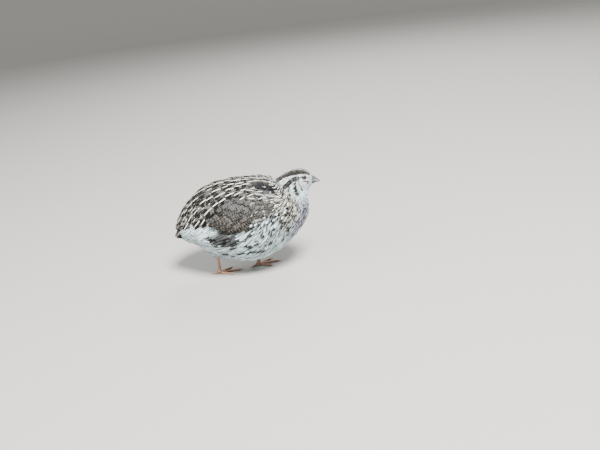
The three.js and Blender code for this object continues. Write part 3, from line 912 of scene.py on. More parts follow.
def feather_material(name, **values):
    """A coat's material. values set the pattern group's own numbers."""
    look = Look(name)
    given = {title.replace("_", " ").capitalize(): value for title, value in values.items()}
    given["Vane"] = look.new("UVMap", uv_map="vane")[1]["UV"]
    for key, output, source in (("Ground", "Chance", "ground"), ("Marks", "Flecks", "marks")):
        given[key] = look.attribute(source, "Color")
        given[output] = look.attribute(source, "Alpha")
    node, pattern = look.new("Group", node_tree=vane_pattern())
    for title, value in given.items():
        look.put(node.inputs[title], value)
    shader = {"Roughness": 0.8, "Sheen Weight": 0.03, "Sheen Roughness": 0.5, "Specular IOR Level": 0.08}
    return look.finish({**shader, "Base Color": pattern["Color"]}, (pattern["Height"], 0.25, 0.1))


def skin_material():
    look = Look("skin")
    _, blotch, bars = look.split(look.attribute("marks", "Color"))
    place = look.place()
    dark = blotch * 0.6 + look.attribute("marks", "Alpha") * 0.4
    patchy = look.step(look.noise(place, 260.0, 3.0, 0.6), 0.5, 0.62)
    dark = look.math("MULTIPLY_ADD", bars, 0.3, dark, clamp=True) * patchy
    colour = look.mix(dark, look.attribute("ground", "Color"), PALETTE["dark brown"])
    colour = look.shade(colour, look.noise(place, 900.0) * 0.4 + 0.5)
    return look.finish({"Base Color": colour, "Roughness": 0.75}, (look.noise(place, 1200.0), 0.4, 0.3))


def lid_material():
    look = Look("lid")
    wrinkle = look.noise(look.stretch(look.place(), (1, 1, 2.5)), 1500.0, 3.0)
    # Painted shade in the wrinkles' grooves, where the bump is low
    colour = look.mix(look.step(wrinkle, 0.35, 0.7), LID_COLOURS["fold"], LID_COLOURS["skin"])
    return look.finish({"Base Color": colour, "Roughness": 0.55}, (wrinkle, 0.5, 0.15))


def eye_material():
    """Dark brown iris round a black pupil, under a wet clear coat. The attribute iris runs out from the pupil."""
    look = Look("wet eye")
    out = look.attribute("iris")
    fibres = look.noise(look.place(), 2600.0, 3.0)
    iris = look.mix(look.step(fibres * 0.12 + out, 0.55, 0.8), EYE_COLOURS["iris"], EYE_COLOURS["iris edge"])
    colour = look.mix(look.step(out, 0.5, 0.54), EYE_COLOURS["pupil"], iris)
    wet = {"Coat Weight": 0.7, "Coat Roughness": 0.02, "Coat IOR": 1.38}
    return look.finish({"Base Color": colour, "Roughness": 0.12, "Specular IOR Level": 0.25, **wet})


def bill_material():
    """Blue-grey at the base, pale horn at the tip, darker along the ridge."""
    look = Look("bill horn")
    place = look.place()
    x, _, z = look.split(place)
    grain = look.noise(look.stretch(place, (0.4, 1.6, 1.6)), 1400.0, 3.0)
    tone = look.step(grain, 0.3, 0.7) * 0.45 + 0.55
    base, tip = (look.shade(BILL_COLOURS[name], tone) for name in ("base", "tip"))
    colour = look.mix(look.step(x, 78.5 * MM, 85.5 * MM), base, tip)
    ridge = look.step((x - 77.0 * MM) * 0.72 + z, 101.6 * MM, 104.2 * MM)
    colour = look.mix(ridge * 0.65, colour, BILL_COLOURS["ridge"])
    # The nostril's slit is painted near black, a painted shade for its hollow
    colour = look.mix(look.attribute("nostril"), colour, BILL_COLOURS["nostril"])
    shader = {"Base Color": colour, "Roughness": grain * 0.25 + 0.42, "Specular IOR Level": 0.3}
    return look.finish(shader, (grain, 0.25, 0.1))


def leg_material():
    """Flesh-pink skin with plates in front and a net of fine scales behind, both with painted shade in their creases.
    """
    look = Look("leg skin")
    place = look.place()
    mottle = look.noise(place, 500.0, 4.0, 0.6)
    flesh = look.mix(look.step(mottle, 0.3, 0.7), LEG_COLOURS["shaded flesh"], LEG_COLOURS["flesh"])
    net = look.new("TexVoronoi", {"Vector": place, "Scale": 1250.0}, feature="DISTANCE_TO_EDGE")[1]["Distance"]
    scale = look.mix(look.attribute("plates"), look.step(net, 0.0, 0.16), look.attribute("crease"))
    # Painted shade in the creases between the plates and the fine scales
    colour = look.mix(scale * 0.6 + 0.4, LEG_COLOURS["crease"], flesh)
    height = look.noise(place, 2400.0, 3.0) * 0.3 + scale
    return look.finish({"Base Color": colour, "Roughness": mottle * 0.3 + 0.35}, (height, 0.4, 0.1))


def claw_material():
    look = Look("claw horn")
    grain = look.noise(look.stretch(look.place(), (0.5, 2, 2)), 1600.0, 3.0)
    colour = look.mix(look.step(grain, 0.3, 0.75), CLAW_COLOURS["dark"], CLAW_COLOURS["light"])
    return look.finish({"Base Color": colour, "Roughness": grain * 0.3 + 0.3})


# Lofts: a grid is shaped by a function, welded along its seam and closed at its ends.
def from_bmesh(name, bm, material):
    bmesh.ops.recalc_face_normals(bm, faces=bm.faces)
    mesh = bpy.data.meshes.new(name)
    bm.to_mesh(mesh)
    bm.free()
    mesh.materials.append(material)
    return link(name, mesh)


def loft(name, place, rows, around, material):
    """place(u, v) gives points in millimetres, u along the loft and v round it, both 0 to 1."""
    bm = bmesh.new()
    bmesh.ops.create_grid(bm, x_segments=rows, y_segments=around, size=1)
    flat = (np.array([v.co for v in bm.verts]) + 1) / 2
    for vert, point in zip(bm.verts, place(flat[:, 0], flat[:, 1])):
        vert.co = point * MM
    bmesh.ops.remove_doubles(bm, verts=bm.verts, dist=1e-6)
    bmesh.ops.holes_fill(bm, edges=bm.edges, sides=0)
    for face in bm.faces:
        face.smooth = True
    return from_bmesh(name, bm, material)


def points_of(piece):
    """A piece's vertices in millimetres."""
    flat = np.zeros(len(piece.data.vertices) * 3)
    piece.data.vertices.foreach_get("co", flat)
    return flat.reshape(-1, 3) / MM


def attribute(piece, name, values):
    layer = piece.data.attributes.new(name, "FLOAT", "POINT")
    layer.data.foreach_set("value", np.asarray(values, np.float32))


def weld(name, pieces):
    """Joins pieces that pass into each other to one closed surface."""
    first, *rest = pieces
    for other in rest:
        cut = first.modifiers.new("union", "BOOLEAN")
        cut.operation = "UNION"
        cut.solver = "EXACT"
        cut.object = other
    bpy.context.view_layer.update()
    depsgraph = bpy.context.evaluated_depsgraph_get()
    mesh = bpy.data.meshes.new_from_object(first.evaluated_get(depsgraph))
    mesh.name = name
    first.modifiers.clear()
    old = first.data
    first.data = mesh
    first.name = name
    bpy.data.meshes.remove(old)
    for other in rest:
        bpy.data.objects.remove(other)
    return first


def ball(u, v):
    """Directions over a ball, u from pole to pole and v round it, both 0 to 1."""
    polar = u * np.pi
    turn = v * 2 * np.pi
    return np.stack([np.sin(polar) * np.cos(turn), np.sin(polar) * np.sin(turn), np.cos(polar)], 1)


def square_to(along, front):
    """The ways sideways and ahead, square to a path that runs along."""
    along = unit(along)
    side = unit(np.cross(along, np.broadcast_to(front, along.shape)))
    return side, np.cross(side, along)


def tube_place(path, radii, front, shape=None):
    """place(u, v) for a tube along a path, with v = 0 towards front and radii spread evenly along it."""
    path = np.array(path, float)
    last = len(path) - 1
    step = 1e-3

    def place(u, v):
        at = u * last
        along = through(path, np.minimum(at + step, last)) - through(path, np.maximum(at - step, 0))
        side, ahead = square_to(along, front)
        radius = np.interp(u * (len(radii) - 1), np.arange(len(radii)), radii)
        angle = v * 2 * np.pi
        if shape is not None:
            radius = radius + shape(u, angle)
        return through(path, at) + (ahead * np.cos(angle)[:, None] + side * np.sin(angle)[:, None]) * radius[:, None]

    return place


# Legs: x and y place the ball of each foot, turn is how far it toes in, cuff the height of the feathers' edge, and
# lean how far the shank's top lies ahead of the ball.
FEET = {
    "right": {"side": -1, "x": -39.4, "y": -9, "turn": 0.25, "cuff": 22.6, "lean": 1},
    "left": {"side": 1, "x": 3.6, "y": 8, "turn": -0.25, "cuff": 10.6, "lean": -2},
}
# Flesh under the feathers at the top of each shank, and how far its middle lies above the cuff and out
CUFF = {"radii": np.array((6.9, 5.2, 8.4)), "rise": 8, "out": 1.5}
# Name, turn from straight ahead, length, length of the claw, height of the knuckle, and how many plates it bears
TOES = (
    ("middle", 0, 22, 4.6, 1.2, 9),
    ("inner", 0.62, 15.5, 4, 1.2, 6),
    ("outer", -0.56, 16.5, 4, 1.2, 7),
    ("hind", 2.75, 6.5, 3.4, 2.6, 3),
)
FRONT = (1, 0, 0)
UP = (0, 0, 1)
FLESH = ("torso", "neck", "head", "tail", "wing_right", "wing_left", "thigh_right", "thigh_left")

def cuff_middle(foot):
    return np.array([foot["x"] + foot["lean"], foot["y"] + foot["side"] * CUFF["out"], foot["cuff"] + CUFF["rise"]])


def nearest_places(points):
    """Station and angle of the body's nearest place to each point."""
    s, a = np.meshgrid(np.linspace(0, LAST, 240), np.linspace(-np.pi, np.pi, 140), indexing="ij")
    surface = on_body(s.ravel(), a.ravel())
    tree = KDTree(len(surface))
    for i, point in enumerate(surface):
        tree.insert(point, i)
    tree.balance()
    found = np.array([tree.find(p)[1] for p in points])
    return s.ravel()[found], a.ravel()[found]


def make_skin():
    material = skin_material()

    def trunk(u, v):
        s = u * LAST
        point, normal, _, _ = body(s, (v * 2 - 1) * np.pi)
        socket = 1 - smooth(*SOCKET["rim"], opening_distance(point))
        return point - normal * (coat_depth(s) + SOCKET["depth"] * socket)[:, None]

    parts = [loft("skin", trunk, 210, 120, material)]
    for name, foot in FEET.items():

        def cuff(u, v):
            point = cuff_middle(foot) + ball(u, v) * CUFF["radii"]
            point[:, 2] = np.maximum(point[:, 2], foot["cuff"] + 1.2)
            return point

        parts.append(loft("cuff_" + name, cuff, 20, 28, material))
    piece = weld("skin", parts)
    points = points_of(piece)
    marks = markings(*nearest_places(points), points)
    paint(piece.data, "ground", np.hstack([marks["ground"], np.ones((len(points), 1))]))
    paint(piece.data, "marks", stacked(marks))
    settle(piece, "plumage", *FLESH)


# Pieces of the head's coat and their stations
HEAD_PIECES = {"face_feathers": (14.9, 17.6), "cheek_feathers": (13.4, 14.9), "crown_feathers": (11.9, 13.4)}


def make_head_coat():
    """Short narrow feathers over the face and crown, in three pieces from the bill to the back of the head."""
    rng = np.random.default_rng(11)
    look = feather_material(
        "head coat", barb_count=12.0, streak_width=0.3, blotch_inner=0.0, blotch_outer=0.9, blotch_start=0.3,
        blotch_end=0.99, blotch_depth=0.4, edge=0.1,
    )
    for name, stations in HEAD_PIECES.items():
        coat = Coat(name, rng)
        s, a = scatter(rng, (0.14, 0.37), stations, (0, 180), 60000, clear_of_eye)
        under_chin = 1.6 * band(s, 12.2, 14.2, 0.6) * smooth(120, 160, degrees(a))
        contour(coat, s, a, FACE, scale=1.35, slim=0.1, raised=under_chin + rng.uniform(0, 0.25, len(s)))
        coat.build("plumage", look)


def make_neck_coat():
    """Streaked feathers of the neck and breast: a pale shaft between dark sides."""
    coat = Coat("neck_feathers", 12)
    s, a = scatter(coat.rng, (0.25, 0), (9.2, 12.1), (0, 180), 24000)
    lower = smooth(120, 165, degrees(a))
    contour(coat, s, a, CONTOUR, slim=0.145, raised=coat.rng.uniform(-0.1, 0.6 + 0.9 * lower))
    coat.build("plumage", feather_material(
        "neck coat", streak_width=0.34, blotch_inner=0.0, blotch_outer=0.75, blotch_start=0.55, blotch_end=0.95,
        blotch_depth=0.98, blotch_taper=0.1, rim=0.35,
    ))


def make_belly_coat():
    """Soft narrow feathers of the belly and the sides, standing off a little along the keel."""
    coat = Coat("belly_feathers", 13)
    s, a = scatter(coat.rng, (0.155, 0), (0.15, 9.6), (76, 180), 40000, off_wing)
    keel = smooth(120, 165, degrees(a)) * smooth(5, 8, s)
    contour(coat, s, a, SOFT, scale=1.1, slim=0.11, raised=coat.rng.uniform(-0.1, 0.4 + keel))
    coat.build("plumage", feather_material(
        "belly coat", streak_width=0.2, blotch_inner=0.0, blotch_start=0.7, blotch_end=0.95, blotch_taper=0.16,
        edge=0.1, rim=0.3,
    ))


# Single feathers of the flank, by station and degrees of root and tip: those that carry a black drop near their
# tip, and the tan ones that edge the longest white streak.
DROPS = (
    (8.0, 82, 7.3, 86), (8.3, 82, 7.6, 86.5), (9.1, 86, 8.3, 91), (8.8, 101, 7.9, 106), (8.6, 125, 7.5, 132),
    (8.4, 108, 7.4, 113.5), (7.9, 109, 6.9, 113.5), (9.2, 118, 8.2, 124), (10.0, 82, 9.3, 86.5), (10.3, 92, 9.5, 97),
    (10.6, 88, 9.9, 92), (11.2, 83, 10.5, 86), (9.6, 99, 8.8, 104), (7.3, 98, 6.4, 103), (8.1, 93, 7.2, 97),
    (7.4, 120, 6.4, 125),
)
TAN_LINE = ((10.0, 105.5, 9.0, 109), (9.45, 107.6, 8.5, 111.6), (8.9, 110, 8.0, 115.5), (8.4, 112.6, 7.6, 119.5))


def make_flank_coat():
    """Long white feathers that sweep back from the breast, some with a dark drop along the shaft."""
    coat = Coat("flank_feathers", 14)
    s, a = scatter(coat.rng, (0, 2.5), (4.8, 10.6), (78, 155), 20000, off_wing)
    contour(coat, s, a, LONG, scale=1.75, slim=0.046, raised=coat.rng.uniform(0.3, 1.5, len(s)), seen=0.56)
    singles(coat, DROPS, 1.3, LONG, 1.5, {"ground": COLOUR["blue white"], "blotch": 1.0})
    singles(coat, TAN_LINE, 0.42, LONG, 1.6, {"ground": COLOUR["tan"], "blotch": 0.0, "streak": 0.0})
    coat.build("plumage", feather_material(
        "flank coat", streak_width=0.2, blotch_inner=0.0, blotch_outer=1.1, blotch_start=0.7, blotch_end=1.15,
        blotch_depth=0.96, blotch_taper=-0.14, edge=0.1, rim=0.42,
    ))


def make_rear_coat():
    """The loose white feathers behind the wing and over the vent."""
    coat = Coat("rear_feathers", 15)
    s, a = scatter(coat.rng, (0, 1.5), (2.5, 4.9), (78, 150), 20000)
    contour(coat, s, a, DOWN, scale=1.25, slim=0.055, raised=coat.rng.uniform(0.4, 1.6, len(s)))
    coat.build("plumage", feather_material("rear coat", streak_width=0.1, blotch_outer=0.3, edge=0.05, rim=0.2))


# Rows of streaked feathers down the back: degrees at which they start, their first and last station, the length of
# a feather by station, and how far apart the roots lie as a share of it
BACK_ROWS = {"starts": (5, 15, 25.5, 36, 46.5, 56, 66), "from": 10.9, "to": 0.5}
BACK_SIZE = ((0, 15), (2, 21), (6, 26), (8, 22), (9.5, 16), (11, 11))
BACK_PITCH = 0.4
# The lowest angle at which they still grow, by station
BACK_EDGE = ((1, 96), (2, 88), (3, 80), (4, 75), (5.2, 65), (6.3, 52), (7.6, 43), (8.6, 47), (11, 60))
# Long cream-streaked feathers over the shoulder, by station and degrees of root and tip
DASHES = (
    (10.9, 57.5, 9.2, 48.5), (10.0, 53, 8.2, 43.5), (9.0, 54, 7.7, 49), (8.8, 39.5, 7.6, 34), (11.0, 71, 9.9, 60),
    (10.7, 2.5, 9.3, 8), (9.9, 4, 8.5, 12.5), (10.4, 24, 9.3, 26),
)


def back_roots(rng):
    """Roots in rows that run from the shoulders to the tail, each about a half step on from its neighbour."""
    step = 0.03
    roots = []
    for side in (-1, 1):
        for k, deg in enumerate(BACK_ROWS["starts"]):
            s = BACK_ROWS["from"]
            wait = BACK_PITCH * table(BACK_SIZE, s) * (0.5 if k % 2 else 1.0)
            while s > BACK_ROWS["to"]:
                a = math.radians(deg)
                wait -= float(norm(body(s, side * a)[2])) * step
                if wait < 0:
                    if deg < table(BACK_EDGE, s):
                        roots.append((s, side * math.radians(deg + rng.normal(0, 1.1))))
                    wait += BACK_PITCH * table(BACK_SIZE, s) * rng.uniform(0.8, 1.2)
                deg += float(flow(s, a)) * step
                s -= step
    return np.array(roots).T


def make_back_coat():
    """Plain feathers below, and over them the rows of long cream-streaked ones with square black blotches."""
    coat = Coat("back_feathers", 16)
    rng = coat.rng
    s, a = scatter(rng, (0, 2.9), (0.2, 10.6), (0, 80), 24000, off_wing)
    contour(coat, s, a, CONTOUR, scale=1.05)
    s, a = back_roots(rng)
    count = len(s)
    length = table(BACK_SIZE, s) * rng.uniform(0.9, 1.1, count)
    half = length * rng.uniform(0.19, 0.23, count)
    line_s, line_a = run_back(s, a, length, rng.normal(0.03, 0.06, count), LANCE.along)
    over_wing = smooth(0.2, 1.5, wing_lift(line_s[:, -1], line_a[:, -1]))
    tip = 0.55 + 0.7 * over_wing + rng.uniform(-0.1, 0.15, count)
    tilt = rng.uniform(-0.02, 0.02, count)
    grids = lay(line_s, line_a, half, LANCE, coat_depth(s), tip, tilt, rng)
    # The lowest feathers bear the marks of the back too
    marks = marks_of(line_s, np.clip(line_a, -1.2, 1.2), LANCE.rows - 2)
    marks["blotch"] = marks["blotch"] * 0.93
    coat.add(LANCE, grids, marks, s, a)
    singles(coat, DASHES, 2.5, LANCE, 1.5, {"streak": 1.0, "blotch": 0.0, "bars": 0.3})
    coat.build("plumage", feather_material(
        "back coat", streak_width=SIZES["streak_width"], blotch_outer=0.98, blotch_start=0.6, blotch_end=0.91,
        edge=0.2, bar_count=13.0,
    ))


# Tiers of the folded wing, lowest first: how many feathers, station and angle of the tip of the hindmost and the
# foremost one, how many stations before and degrees above the tip the root lies, half width, how far the tips
# stand off, ground colours at the top and bottom, and strength of streak, blotch, bars and flecks.
WING_TIERS = (
    # Primaries and secondaries
    (6, (4.95, 80), (6.2, 90.5), (2.6, -28), 2.9, 0.0, ("brown", "dark brown"), (0, 0, 0.8, 0), FLIGHT),
    (13, (5.15, 75), (7.1, 88.5), (2.0, -27), 3.1, 0.35, ("grey brown", "brown"), (0, 0, 1, 0), FLIGHT),
    # Greater, median, upper and lesser coverts
    (13, (5.5, 64), (8.1, 83), (1.5, -20), 3.1, 0.65, ("grey", "brown"), (0, 0.1, 1, 0.2), FLIGHT),
    (13, (6.1, 57), (8.5, 77), (1.2, -15), 3.0, 0.85, ("lilac grey", "grey"), (0, 0.15, 1, 0.4), LONG),
    (12, (6.7, 51), (8.9, 71), (1.0, -11), 2.8, 1.0, ("lilac grey", "stone"), (0, 0.15, 1, 0.5), LONG),
    (10, (7.6, 48), (9.3, 66), (0.85, -7), 2.6, 1.05, ("grey", "stone"), (0.2, 0.3, 1, 0.5), LONG),
)


def make_wing(side):
    """One folded wing: its tiers, and small feathers over its bend."""
    word = WORDS[side]
    coat = Coat(f"wing_{word}_feathers", 20 + side)
    rng = coat.rng
    for count, rear, front, back, half, lie, grounds, strengths, cut in WING_TIERS:
        share = np.linspace(0, 1, count)
        v = cut.along[None, :]
        tip_s = np.interp(share, (0, 1), (rear[0], front[0])) + rng.normal(0, 0.09, count)
        tip_deg = np.interp(share, (0, 1), (rear[1], front[1])) + rng.normal(0, 1.3, count)
        before = (1 - 0.25 * share)[:, None] * (1 - v)
        line_s = tip_s[:, None] + back[0] * before
        line_a = side * np.radians(tip_deg[:, None] + back[1] * before + 2.0 * np.sin(np.pi * v))
        lift = wing_lift(line_s[:, -1], line_a[:, -1])
        tip = np.maximum(1.3 - lift, 0.1) + lie + 0.3 * (1 - share)
        every = np.ones(count)
        grids = lay(line_s, line_a, half * every, cut, 0.9 * every, tip, 0.05 * side * every, rng)
        colour = mix(plain(grounds[0], (count,)), grounds[1], smooth(0.2, 1, share))
        colour = mix(colour, "stone", rng.uniform(0, 0.6, count) ** 1.5) * rng.uniform(0.52, 1.32, (count, 1))
        coat.add(cut, grids, even_marks(colour, strengths), line_s[:, 0], line_a[:, 0])

    def on_bend(s, a):
        return (a * side > 0) & (wing_lift(s, a) > 0.9)

    s, a = scatter(rng, (0, 1.8), (8.3, 10.2), (42, 78), 6000, on_bend)
    contour(coat, s, a, CONTOUR, scale=0.8, raised=1.1)
    coat.build("wing_feathers", feather_material(
        f"wing {word} coat", streak_width=0.1, blotch_inner=0.12, blotch_outer=0.8, blotch_start=0.76,
        blotch_end=0.94, bar_count=11.0, bar_slant=1.2, barb_count=80.0,
    ))


# Tail fans: how many feathers, half the width of one, middle root and tip (x, z), half the width of the fan at roots
# and tips, the way out (x, z), how much the outermost feathers end sooner and lie lower, ground colour and marks.
FANS = (
    # Tail feathers, upper coverts, edge of the rump, and under coverts
    (10, 3.3, (-66, 72), (-85.4, 47.8), 6, 12, (-0.82, 0.57), 4, 2.6, "stone", (1, 0.35, 0.7)),
    (8, 3.6, (-67, 79), (-82.6, 57.4), 7.5, 12, (-0.84, 0.54), 3, 3.6, "stone", (1, 0.7, 0.5)),
    (7, 3.8, (-66, 84), (-79.4, 65.6), 9.5, 14, (-0.84, 0.54), 2, 4.4, "stone", (1, 0.8, 0.4)),
    (8, 3.4, (-66, 43.6), (-83.4, 46.8), 8, 10, (-0.24, -0.97), 3, 2, "sand", (0.3, 0, 0.2)),
)


def make_tail():
    """The tail in four fans that lap over each other."""
    coat = Coat("tail_coat", 30)
    rng = coat.rng
    for count, half, root, tip, root_spread, spread, out, shorten, droop, ground, strengths in FANS:
        t = np.linspace(-1, 1, count)
        short = shorten * t ** 2 + rng.uniform(-0.4, 0.4, count)
        rise = short * (root[1] - tip[1]) / (root[0] - tip[0])
        every = np.ones(count)
        sunk = np.array([out[0], 0, out[1]]) * (-droop * t ** 2)[:, None]
        normal = unit(np.stack([out[0] * every, 4 * droop * t / (root_spread + spread), out[1] * every], 1))
        inner = (1 - np.abs(t))[:, None]
        start = np.stack([root[0] * every, t * root_spread, root[1] * every], 1) + sunk + normal * 0.35 * inner
        end = np.stack([tip[0] + short, t * spread, tip[1] + rise], 1) + sunk + normal * (0.5 * inner + 0.1)
        grids = fan_out(start, end, normal, half * every, FLIGHT, 0.03, rng)
        colour = COLOUR[ground] * rng.uniform(0.88, 1.08, (count, 1))
        below = np.pi if out[1] < 0 else 0
        coat.add(FLIGHT, grids, even_marks(colour, (*strengths, 0.2)), every, t * 1.4 + below)
    coat.build("tail_feathers", feather_material("tail coat", streak_width=0.13, bar_count=7.0))


def make_cuffs():
    """Loose pale feathers round the top of each shank."""
    coat = Coat("thigh_feathers", 31)
    rng = coat.rng
    count = 420
    lie = np.array([-0.12, 0, -1])
    for foot in FEET.values():
        turn = rng.uniform(0, 2 * np.pi, count)
        low = rng.uniform(-0.75, 0.55, count)
        wide = np.sqrt(1 - low ** 2)
        out = np.stack([wide * np.cos(turn), wide * np.sin(turn), low], 1)
        root = cuff_middle(foot) + out * CUFF["radii"] * 0.97
        normal = unit(out / CUFF["radii"])
        down = unit(lie - normal * (normal @ lie)[:, None])
        length = rng.uniform(5.0, 7.5, count)
        tip = root + down * length[:, None] + normal * rng.uniform(0.7, 1.5, (count, 1))
        tip[:, 2] = np.maximum(tip[:, 2], foot["cuff"] - 0.6)
        grids = fan_out(root, tip, normal, length * 0.11, SOFT, 0.06, rng)
        ground = mix(plain("blue white", (count,)), "stone", rng.uniform(0, 0.7, count))
        s, a = 4 + 2 * turn / np.pi, foot["side"] * (2.2 + low * 0.6)
        coat.add(SOFT, grids, even_marks(ground, (0, 0.1, 0, 0.2)), s, a)
    coat.build("down", feather_material("thigh coat", rim=0.2))

# The ring of the lids: how far its middle lies outside the opening, half its thickness at top and corners, how much
# longer the opening is at its corners, and how far it stands off the ball
LID = {"out": 0.4, "thick": 0.28, "thin": 0.23, "corner": 0.16, "off": 0.12, "lowest": -0.75}


def make_eyes():
    glass = eye_material()
    rim = lid_material()
    for side, word in WORDS.items():
        middle, forward, up, out = (np.array(v) for v in eye_frame(side))
        centre = middle - out * EYE["depth"]

        def eyeball(u, v):
            """A ball that bulges a little over the pupil."""
            bulge = 1 + 0.05 * np.exp(-((u * np.pi / 0.5) ** 2))
            return centre + (ball(u, v) @ np.array([forward, up, out])) * (EYE["radius"] * bulge)[:, None]

        eye = loft(f"eye_{word}_ball", eyeball, 40, 48, glass)
        attribute(eye, "iris", np.arccos(np.clip(unit(points_of(eye) - centre) @ out, -1, 1)))
        settle(eye, "eye", f"eye_{word}")

        def lid(u, v):
            """A ring: u runs round the eye and v round the lid's own section."""
            turn = u * 2 * np.pi
            section = v * 2 * np.pi
            level = np.abs(np.cos(turn))
            thick = LID["thick"] - (LID["thick"] - LID["thin"]) * level
            outer = 0.5 + 0.5 * np.cos(section)
            spread = LID["out"] + thick * (1 + 0.8 * outer * (np.cos(section) > 0)) * np.cos(section)
            x = (OPENING["long"] * (1 + LID["corner"] * level ** 6) + spread) * np.cos(turn)
            y = (OPENING["high"] + spread) * np.sin(turn)
            on_ball = np.sqrt(np.maximum(EYE["radius"] ** 2 - x ** 2 - y ** 2, 0.5)) - EYE["depth"]
            height = np.maximum(on_ball, LID["lowest"]) + LID["off"] + thick * np.sin(section) - 0.25 * outer
            return middle + np.outer(x, forward) + np.outer(y, up) + np.outer(height, out)

        settle(loft(f"lid_{word}", lid, 64, 14, rim), "plumage")


# Bill, from base to tip in millimetres: x, top, bottom and half the width
BILL = np.array([
    (75.6, 105.2, 94.6, 4.6), (77.1, 104.5, 94.9, 4.3), (80, 102.8, 95.9, 3.4), (83, 100.5, 96.4, 2.2),
    (84.8, 98.9, 96.6, 1.25), (85.7, 97.6, 96.5, 0.5),
])
# The nostril's slit and the flap over it: middle (x, z), half its length and half its height
NOSTRIL = (79.5, 101.0, 0.95, 0.33)
FLAP = (78.9, 101.9, 1.4, 0.65)


def bill_sizes(u):
    return through(BILL, np.clip(u, 0, 1) * (len(BILL) - 1)).T


def mouth_line(x):
    """Height of the line between the two halves of the bill."""
    return 98.8 - 0.158 * (x - 76.8)


def slit(x, z, place):
    """How deep a place lies in a slit that slopes down towards the tip, 0 to 1."""
    mid_x, mid_z, long, high = place
    return np.exp(-(((x - mid_x) / long) ** 2) - ((z - mid_z + 0.5 * (x - mid_x)) / high) ** 2)


def make_bill():
    horn = bill_material()

    def upper(u, v):
        """An arched section with a rounded ridge and sharp cutting edges that lap over the lower mandible."""
        x, top, _, half = bill_sizes(u)
        mouth = mouth_line(x) - 0.15
        turn = v * 2 * np.pi
        arch = np.cos(turn)
        y = half * np.sin(turn) * (1 - 0.12 * np.maximum(arch, 0))
        roof = mouth + np.maximum(top - mouth, 0.25) * np.maximum(arch, 0) ** 0.85
        palate = mouth + 0.55 * np.maximum(-arch, 0) * half / 4
        z = np.where(arch > 0, roof, palate)
        y = y - np.sign(y) * (0.8 * slit(x, z, NOSTRIL) - 0.3 * slit(x, z, FLAP))
        return np.stack([x, y, z], 1)

    def lower(u, v):
        x, _, low, half = bill_sizes(u * 0.985)
        mouth = mouth_line(x) - 0.1
        turn = v * 2 * np.pi
        arch = np.cos(turn)
        y = (half - 0.35).clip(0.15) * np.sin(turn) * (1 - smooth(0.9, 1.0, u) * 0.6)
        keel = mouth - np.maximum(mouth - low, 0.2) * np.maximum(-arch, 0) ** 0.8
        z = np.where(arch > 0, mouth - 0.3 * np.maximum(arch, 0), keel)
        return np.stack([x, y, z], 1)

    top = loft("bill_upper_horn", upper, 80, 128, horn)
    x, y, z = points_of(top).T
    # Where the painted shade of the nostril's hollow lies
    attribute(top, "nostril", smooth(0.3, 0.8, slit(x, z, NOSTRIL) * (np.abs(y) > 0.8)))
    settle(top, "bill", "bill_upper")
    settle(loft("bill_lower_horn", lower, 48, 36, horn), "bill", "bill_lower")


def plate_run(u, angle, count):
    """How far along its own plate a place lies, 0 to 1, and how much it faces front. Plates lap in two rows."""
    half = 0.5 * (np.sin(angle) > 0)
    return np.modf(u * count + half)[0], smooth(0.0, 0.55, np.cos(angle))


def scutes(u, angle, count, height):
    """Overlapping plates down the front of a leg or toe, as a height over the tube."""
    run, front = plate_run(u, angle, count)
    return height * run ** 0.6 * (1 - smooth(0.86, 1.0, run)) * front


def scale_marks(points, tubes):
    """For places on a leg: 0 in the creases between plates and 1 on them, and how much each place bears plates."""
    best = np.full(len(points), FAR)
    crease = np.ones(len(points))
    plates = np.zeros(len(points))
    u = np.linspace(0, 1, 160)
    for path, front, count in tubes:
        centre = through(np.array(path, float), u * (len(path) - 1))
        side, ahead = square_to(np.gradient(centre, axis=0), front)
        away = norm(points[:, None] - centre)
        i = away.argmin(1)
        off = points - centre[i]
        angle = np.arctan2((off * side[i]).sum(1), (off * ahead[i]).sum(1))
        run, facing = plate_run(u[i], angle, count)
        nearer = away.min(1) < best
        best = np.where(nearer, away.min(1), best)
        crease = np.where(nearer, smooth(0.0, 0.14, run) * (1 - smooth(0.84, 0.98, run)), crease)
        plates = np.where(nearer, facing, plates)
    return crease, plates


# Radii along a shank, a toe and a claw, in millimetres
SHANK_RADII = (2.3, 1.95, 1.75, 1.85, 2.25)
TOE_RADII = (1.7, 1.35, 1.2, 1.0, 0.62)
CLAW_RADII = (0.78, 0.66, 0.42, 0.1)
# Height of the shank between two of its plates, and how far the plates stand out on shank and toe
PLATE = {"pitch": 2.1, "shank": 0.14, "toe": 0.13}


